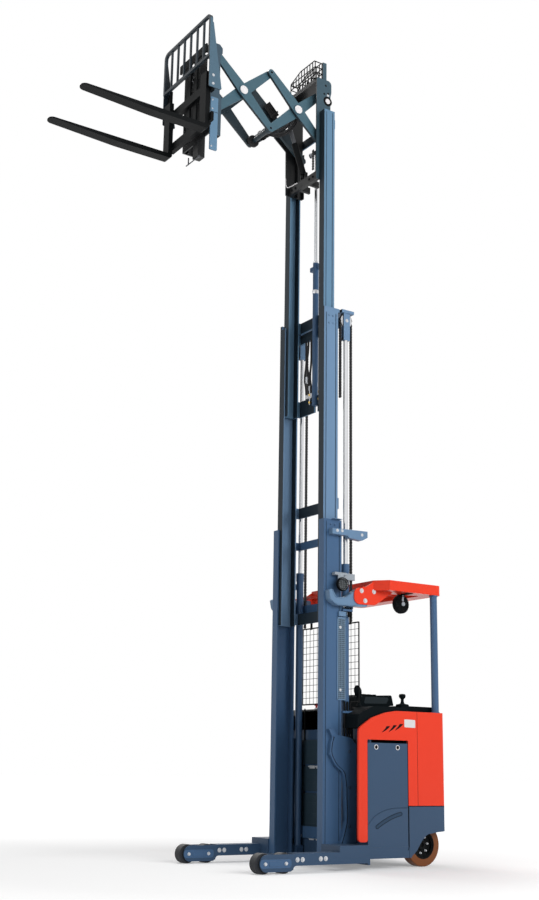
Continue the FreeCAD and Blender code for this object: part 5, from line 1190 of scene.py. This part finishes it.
for sign in (1, -1):
    for edge in (upper_edge, lower_edge):
        line = bent([(behind(d), sign * 0.4405, z) for d, z in edge], 0.02)
        bracket_welds.append(swept(line, ring_section(0.004, 8)))
piece("bracket_edges", bracket_welds, MID_BLUE, "chassis")

# ---------------------------------------------------------------- fan
# A small guarded fan hangs under the left beam: a round black body behind a wire cage, with a
# plated motor cap and a folded strap.
GALVANISED = finish("galvanised_plate", (0.30, 0.34, 0.38), 0.42, metal=0.4, dust=0.05, bump=0.01)
fan_x, fan_y, fan_z = behind(1.505), 0.395, 2.142
cage = []
for radius in (0.026, 0.040, 0.054, 0.068):
    y = fan_y + 0.030 - (radius - 0.026) * 0.08
    cage.append(wire_ring(radius, 0.0013, "y", (fan_x, y, fan_z), 36, 6))
for angle in np.linspace(0, 2 * np.pi, 18, endpoint=False):
    way = np.array((np.cos(angle), 0, np.sin(angle)))
    line = [np.array((fan_x, fan_y + 0.0315, fan_z)) + way * 0.020,
            np.array((fan_x, fan_y + 0.027, fan_z)) + way * 0.074]
    cage.append(swept(line, ring_section(0.0013, 6), up=(0, 1, 0)))
piece("fan_cage", cage, BLACK_PAINT, "chassis")
motor = [lathe([(fan_y + 0.030, 0.019), (fan_y + 0.038, 0.019), (fan_y + 0.042, 0.015)], "y",
               (fan_x, 0, fan_z), 28),
         block((fan_x - 0.010, fan_x + 0.010), (fan_y + 0.029, fan_y + 0.034),
               (fan_z + 0.012, fan_z + 0.062), 0.0015),
         block((fan_x - 0.006, fan_x + 0.006), (fan_y + 0.029, fan_y + 0.033),
               (fan_z + 0.055, 2.222), 0.0012)]
piece("fan_motor_and_strap", motor, GALVANISED, "chassis")

# ---------------------------------------------------------------- work lamps
# Two round lamps in black housings, each with a bright bezel, a domed lens and a wire guard, on
# plated arms bolted to the mast head.
LAMP_LENS = finish("lamp_lens", (0.09, 0.105, 0.115), 0.18, coat=0.5, dust=0.02, specular=0.6, bump=0.03,
                   fine=260.0)
dress(BLACK_PLASTIC, "work_lamps", "operator_fan")
lamp_x, lamp_z = behind(0.842), 2.248
bezels, lenses, lamp_guards, lamp_arms = [], [], [], []
rim_y, spot = 0.432 + 0.022, (lamp_x, 0, lamp_z)
for sign in (1, -1):
    way = (0, sign, 0)
    bezels.append(hoop([(rim_y - 0.010, 0.0435), (rim_y + 0.0035, 0.0440), (rim_y + 0.0050, 0.0462),
                        (rim_y + 0.0035, 0.0485),
                        (rim_y - 0.010, 0.0490)], way, spot, 40))
    lenses.append(lathe([(rim_y - 0.008, 0.0440), (rim_y - 0.004, 0.0430), (rim_y + 0.001, 0.036),
                         (rim_y + 0.0035, 0.018),
                         (rim_y + 0.0042, 0.004)], way, spot, 40))
    for offset in (-0.034, -0.017, 0.0, 0.017, 0.034):
        y, reach = sign * (rim_y + 0.008), float(np.sqrt(0.051 ** 2 - offset ** 2))
        for bar in ([(lamp_x + offset, y, lamp_z - reach), (lamp_x + offset, y, lamp_z + reach)],
                    [(lamp_x - reach, y, lamp_z + offset), (lamp_x + reach, y, lamp_z + offset)]):
            lamp_guards.append(swept(bar, ring_section(0.0016, 6), up=(0, 1, 0)))
    lamp_guards.append(hoop([(rim_y + 0.005, 0.0490), (rim_y + 0.010, 0.0490), (rim_y + 0.010, 0.0535),
                             (rim_y + 0.005, 0.0535)], way, spot, 40))
    lamp_arms.append(block((behind(0.905), behind(0.780)), sorted((sign * 0.3835, sign * 0.4300)),
                           (2.326, 2.350), 0.002))
    lamp_arms.append(block((behind(1.010), behind(0.885)), sorted((sign * 0.3835, sign * 0.3985)),
                           (2.298, 2.352), 0.002))
    lamp_arms.append(block((behind(0.870), behind(0.814)), sorted((sign * 0.4180, sign * 0.4300)),
                           (2.280, 2.330), 0.002))
piece("lamp_bezels", bezels, LAMP_GREY, "chassis")
piece("lamp_lenses", lenses, LAMP_LENS, "chassis")
piece("lamp_wire_guards", lamp_guards, BLACK_PAINT, "chassis")
piece("lamp_arms", lamp_arms, GALVANISED, "chassis")

# ---------------------------------------------------------------- hose cover and cable shelf
# A perforated cover screwed to the near rail hides the hoses, and a folded shelf on the mast head
# carries the cable run. Both are thin galvanised plate, sprayed with the mast.
def perforated_finish():
    """Rows of punched holes: a point is in a hole where its distance to the nearest grid point is small;
    there the colour is near black, painted shade seen through the hole.
    """
    material, nodes, links, shader = new_surface("perforated_plate")
    shader.inputs["Specular IOR Level"].default_value = 0.3
    split = nodes.new("ShaderNodeSeparateXYZ")
    links.new(nodes.new("ShaderNodeTexCoord").outputs["Object"], split.inputs[0])
    tree, pitch = material.node_tree, 0.016
    away = []
    for axis in ("X", "Z"):
        place = math_node(tree, "ADD", split.outputs[axis], 50.0)
        share = math_node(tree, "FRACT", math_node(tree, "DIVIDE", place, pitch))
        offset = math_node(tree, "ABSOLUTE", math_node(tree, "SUBTRACT", share, 0.5))
        away.append(math_node(tree, "POWER", offset, 2.0))
    distance = math_node(tree, "SQRT", math_node(tree, "ADD", *away))
    solid = math_node(tree, "MULTIPLY", math_node(tree, "SUBTRACT", distance, 0.27), 12.0, clamp=True)
    slow = use_group(nodes, TONE, Swing=TONE_SWING)
    shade = mixed(nodes, links, slow, (0.095, 0.150, 0.215), (0.130, 0.195, 0.265))
    links.new(mixed(nodes, links, solid, (0.012, 0.020, 0.030), shade), shader.inputs["Base Color"])
    height = use_group(nodes, RIPPLE, Fine_scale=420.0, Coarse_share=0.5)
    links.new(spread(nodes, links, height, 0.40, 0.54), shader.inputs["Roughness"])
    raise_skin(nodes, links, shader, solid, 0.002)
    return material


cover_outline = rectangle((behind(0.838), behind(0.922)), (1.318, 1.975), 0.004)
cover_plate = slab(cover_outline, "XZ", 0.3802, 0.3835, 0.0008)
piece("hose_cover_plate", [cover_plate], perforated_finish(), "chassis")
cover_frame = [block((behind(0.844), behind(0.836)), (0.380, 0.3865), (1.312, 1.980), 0.001),
               block((behind(0.926), behind(0.919)), (0.380, 0.3865), (1.312, 1.980), 0.001),
               block((behind(0.926), behind(0.836)), (0.380, 0.3865), (1.972, 1.984), 0.001),
               block((behind(0.926), behind(0.836)), (0.380, 0.3865), (1.308, 1.318), 0.001),
               block((behind(0.925), behind(0.845)), (0.380, 0.4000), (1.990, 2.030), 0.002)]
piece("hose_cover_frame", cover_frame, MID_BLUE, "chassis")
cover_screws = bolts([(behind(0.869), 0.3835, 1.389), (behind(0.869), 0.3835, 1.900)], (0, 1, 0),
                     radius=0.008, height=0.005)
cover_screws += bolts([(behind(d), 0.4325, z) for d, z in ((0.800, 2.700), (0.850, 2.702), (1.060, 2.690))],
                      (0, 1, 0), radius=0.009, height=0.006)
cover_screws += bolts([(behind(d), 0.405, 2.7212) for d in (0.960, 1.080)], (0, 0, 1), radius=0.008,
                      height=0.006)
piece("cover_screws", cover_screws, ZINC, "chassis")
tubes = []
for d, y in ((0.905, 0.392), (0.940, 0.386), (0.965, 0.386)):
    line = [(behind(d), y, 1.30), (behind(d), y, 0.98), (behind(d + 0.01), y, 0.80)]
    tubes.append(swept(bent(line, 0.06), ring_section(0.0085)))
    upper_line = [(behind(d + 0.012), y, 1.99), (behind(d + 0.012), y, 2.07)]
    tubes.append(swept(upper_line, ring_section(0.0085)))
piece("rail_pipes", tubes, BLACK_PAINT, "chassis")
clamps = [block((behind(0.985), behind(0.884)), (0.372, 0.402), (z, z + 0.018), 0.002)
          for z in (0.985, 1.205, 2.035)]
piece("pipe_clamps", clamps, SLATE, "chassis")

# ---------------------------------------------------------------- controls
# A moulded dash with a dark display and a blank key panel, a multi-way stick in a rubber boot, a
# steering knob on a round plate and a mushroom stop button.
DASH = finish("dash_plastic", (0.0030, 0.0050, 0.0062), 0.58, fine=900.0, bump=0.05, coarse=0.1, dust=0.01,
              specular=0.05)
SCREEN_GLASS = finish("display_glass", (0.006, 0.012, 0.016), 0.20, coat=0.1, dust=0.02, specular=0.12,
                      bump=0.002)
dress(DASH, "dashboard", "top_deck")
dash_low, dash_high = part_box("dashboard")
side_panels, keys = [], []
for sign, face in ((1, dash_high.y), (-1, dash_low.y)):
    outline = [(behind(1.150), 1.292, 0.010), (behind(1.390), 1.300, 0.010), (behind(1.425), 1.352, 0.012),
               (behind(1.165), 1.348, 0.012)]
    side_panels.append(slab(outline, "XZ", *sorted((face - sign * 0.001, face + sign * 0.004)), 0.0015))
display_outline = rectangle((behind(1.205), behind(1.375)), (-0.110, 0.110), 0.010)
display = slab(display_outline, "XY", 1.3665, 1.3745, 0.002)
for row in range(3):
    for column in range(2):
        x, y = behind(1.215 + row * 0.055), 0.165 + column * 0.070
        outline = rectangle((x - 0.018, x + 0.018), (y - 0.024, y + 0.024), 0.006)
        keys.append(slab(outline, "XY", 1.3660, 1.3770, 0.002))
piece("dash_side_panels", side_panels, SCREEN_GLASS, "chassis")
piece("dash_display", [display], SCREEN_GLASS, "chassis")
piece("dash_keys", keys, BLACK_PLASTIC, "chassis")

knob_low, knob_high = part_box("tiller_knob")
knob_spot = ((knob_low.x + knob_high.x) / 2, (knob_low.y + knob_high.y) / 2, 0)
base_z, top_z = knob_low.z, knob_high.z
knob_profile = [(base_z, 0.055), (base_z + 0.010, 0.0555), (base_z + 0.017, 0.050),
                (base_z + 0.020, 0.030), (base_z + 0.026, 0.017), (base_z + 0.045, 0.0125),
                (base_z + 0.062, 0.014), (base_z + 0.070, 0.0235), (base_z + 0.080, 0.0285),
                (top_z - 0.008, 0.0280), (top_z - 0.002, 0.0215), (top_z, 0.010)]
knob = lathe(knob_profile, "z", knob_spot, 40)
steering_knob = piece("steering_knob", [knob], DASH, "chassis")
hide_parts("tiller_knob")

stick_low, stick_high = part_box("control_handle")
stick_x, stick_y = (stick_low.x + stick_high.x) / 2, (stick_low.y + stick_high.y) / 2
foot_z = stick_low.z
rings = [(foot_z + 0.004 * k, 0.0255 - 0.0022 * k + (0.002 if k % 2 else 0.0)) for k in range(8)]
stick = [lathe([(foot_z, 0.026), *rings[1:], (foot_z + 0.034, 0.0085), (foot_z + 0.085, 0.0080)], "z",
               (stick_x, stick_y, 0), 28)]
head_profile = [(-0.018, 0.010), (0.004, 0.0210), (0.026, 0.0300), (0.052, 0.0325), (0.078, 0.0250),
                (0.094, 0.010)]
stick.append(lathe(head_profile, (0.34, 0.10, 1.0), (stick_x, stick_y, foot_z + 0.083), 28))
control_stick = piece("control_stick", stick, DASH, "chassis")
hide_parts("control_handle")

button_low, button_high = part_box("stop_button")
button_spot = ((button_low.x + button_high.x) / 2, (button_low.y + button_high.y) / 2, 0)
button = [lathe([(button_low.z + 0.010, 0.0095), (button_low.z + 0.026, 0.0095),
                 (button_low.z + 0.029, 0.0185),
                 (button_high.z - 0.010, 0.0200), (button_high.z - 0.003, 0.0150), (button_high.z, 0.006)],
                "z", button_spot, 36)]
mushroom = piece("mushroom_button", button, BUTTON_RED, "chassis")
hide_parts("stop_button")
collar = [lathe([(button_low.z, 0.0165), (button_low.z + 0.008, 0.0165), (button_low.z + 0.011, 0.013)],
                "z", button_spot, 32)]
piece("button_collar", collar, ZINC, "chassis")

# ---------------------------------------------------------------- operator's standing room
# A ribbed rubber mat covers the floor, and the right wall carries a padded back rest: foam under a
# sewn cover with two channels, fixed by hidden screws.
mat_low, mat_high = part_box("floor_mat")
rib_count, ribs = 22, []
for k in range(rib_count):
    y = mat_low.y + 0.012 + (mat_high.y - mat_low.y - 0.024) * k / (rib_count - 1)
    ribs.append(block((mat_low.x + 0.014, mat_high.x - 0.014), (y - 0.0045, y + 0.0045),
                      (mat_high.z - 0.001, mat_high.z + 0.003), 0.0012))
piece("mat_ribs", ribs, RUBBER, "chassis")

pad_low, pad_high = (np.array(corner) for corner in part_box("back_pad"))


def crowned_pad(low, high, rows=56, columns=72):
    """A cushion: the wall side is flat, and the front stands out by its depth times a crown, the square
    root of (1 - u^5)(1 - v^5), less two sewn channels, each a narrow bell in v, plus a fine ripple."""
    u, v = np.meshgrid(np.linspace(-1, 1, columns), np.linspace(-1, 1, rows), indexing="xy")
    pull = 0.035 * (1 - np.abs(v) ** 2) * np.sign(u) * np.abs(u) ** 6
    width, height = (high[0] - low[0]) / 2, (high[2] - low[2]) / 2
    x = (low[0] + high[0]) / 2 + width * (u * 0.985 - pull * 0.3)
    z = (low[2] + high[2]) / 2 + height * v * 0.985
    crown = np.clip((1 - np.abs(u) ** 5) * (1 - np.abs(v) ** 5), 0, 1) ** 0.5
    dips = sum(np.exp(-((v - place) / 0.035) ** 2) for place in (-0.34, 0.34))
    fine = 0.0012 * np.sin(9 * u + 4 * v) * np.sin(7 * v)
    front = low[1] + 0.012 + (high[1] - low[1] - 0.014) * crown * (1 - 0.22 * dips * crown) + fine * crown
    back = np.full_like(front, low[1] + 0.001)
    grid = np.stack([np.stack([x, front, z], axis=-1), np.stack([x, back, z], axis=-1)])
    points = grid.reshape(-1, 3)
    j, i = np.meshgrid(np.arange(columns - 1), np.arange(rows - 1), indexing="xy")
    one = (i * columns + j).ravel()
    front_quads = np.stack([one, one + columns, one + columns + 1, one + 1], axis=1)
    back_quads = np.stack([one, one + 1, one + columns + 1, one + columns], axis=1) + rows * columns
    edge = np.concatenate([np.arange(columns), np.arange(1, rows) * columns + columns - 1,
                           (rows - 1) * columns + np.arange(columns - 2, -1, -1),
                           np.arange(rows - 2, 0, -1) * columns])
    on = np.roll(edge, -1)
    sides = np.stack([edge, on, on + rows * columns, edge + rows * columns], axis=1)
    return outward(points, [front_quads, back_quads, sides])


PAD_COVER = finish("pad_vinyl", (0.016, 0.016, 0.018), 0.52, fine=640.0, bump=0.08, coarse=0.8, dust=0.04,
                   specular=0.35)
back_cushion = piece("back_cushion", [crowned_pad(pad_low, pad_high)], PAD_COVER, "chassis",
                     sharp=60)
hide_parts("back_pad")
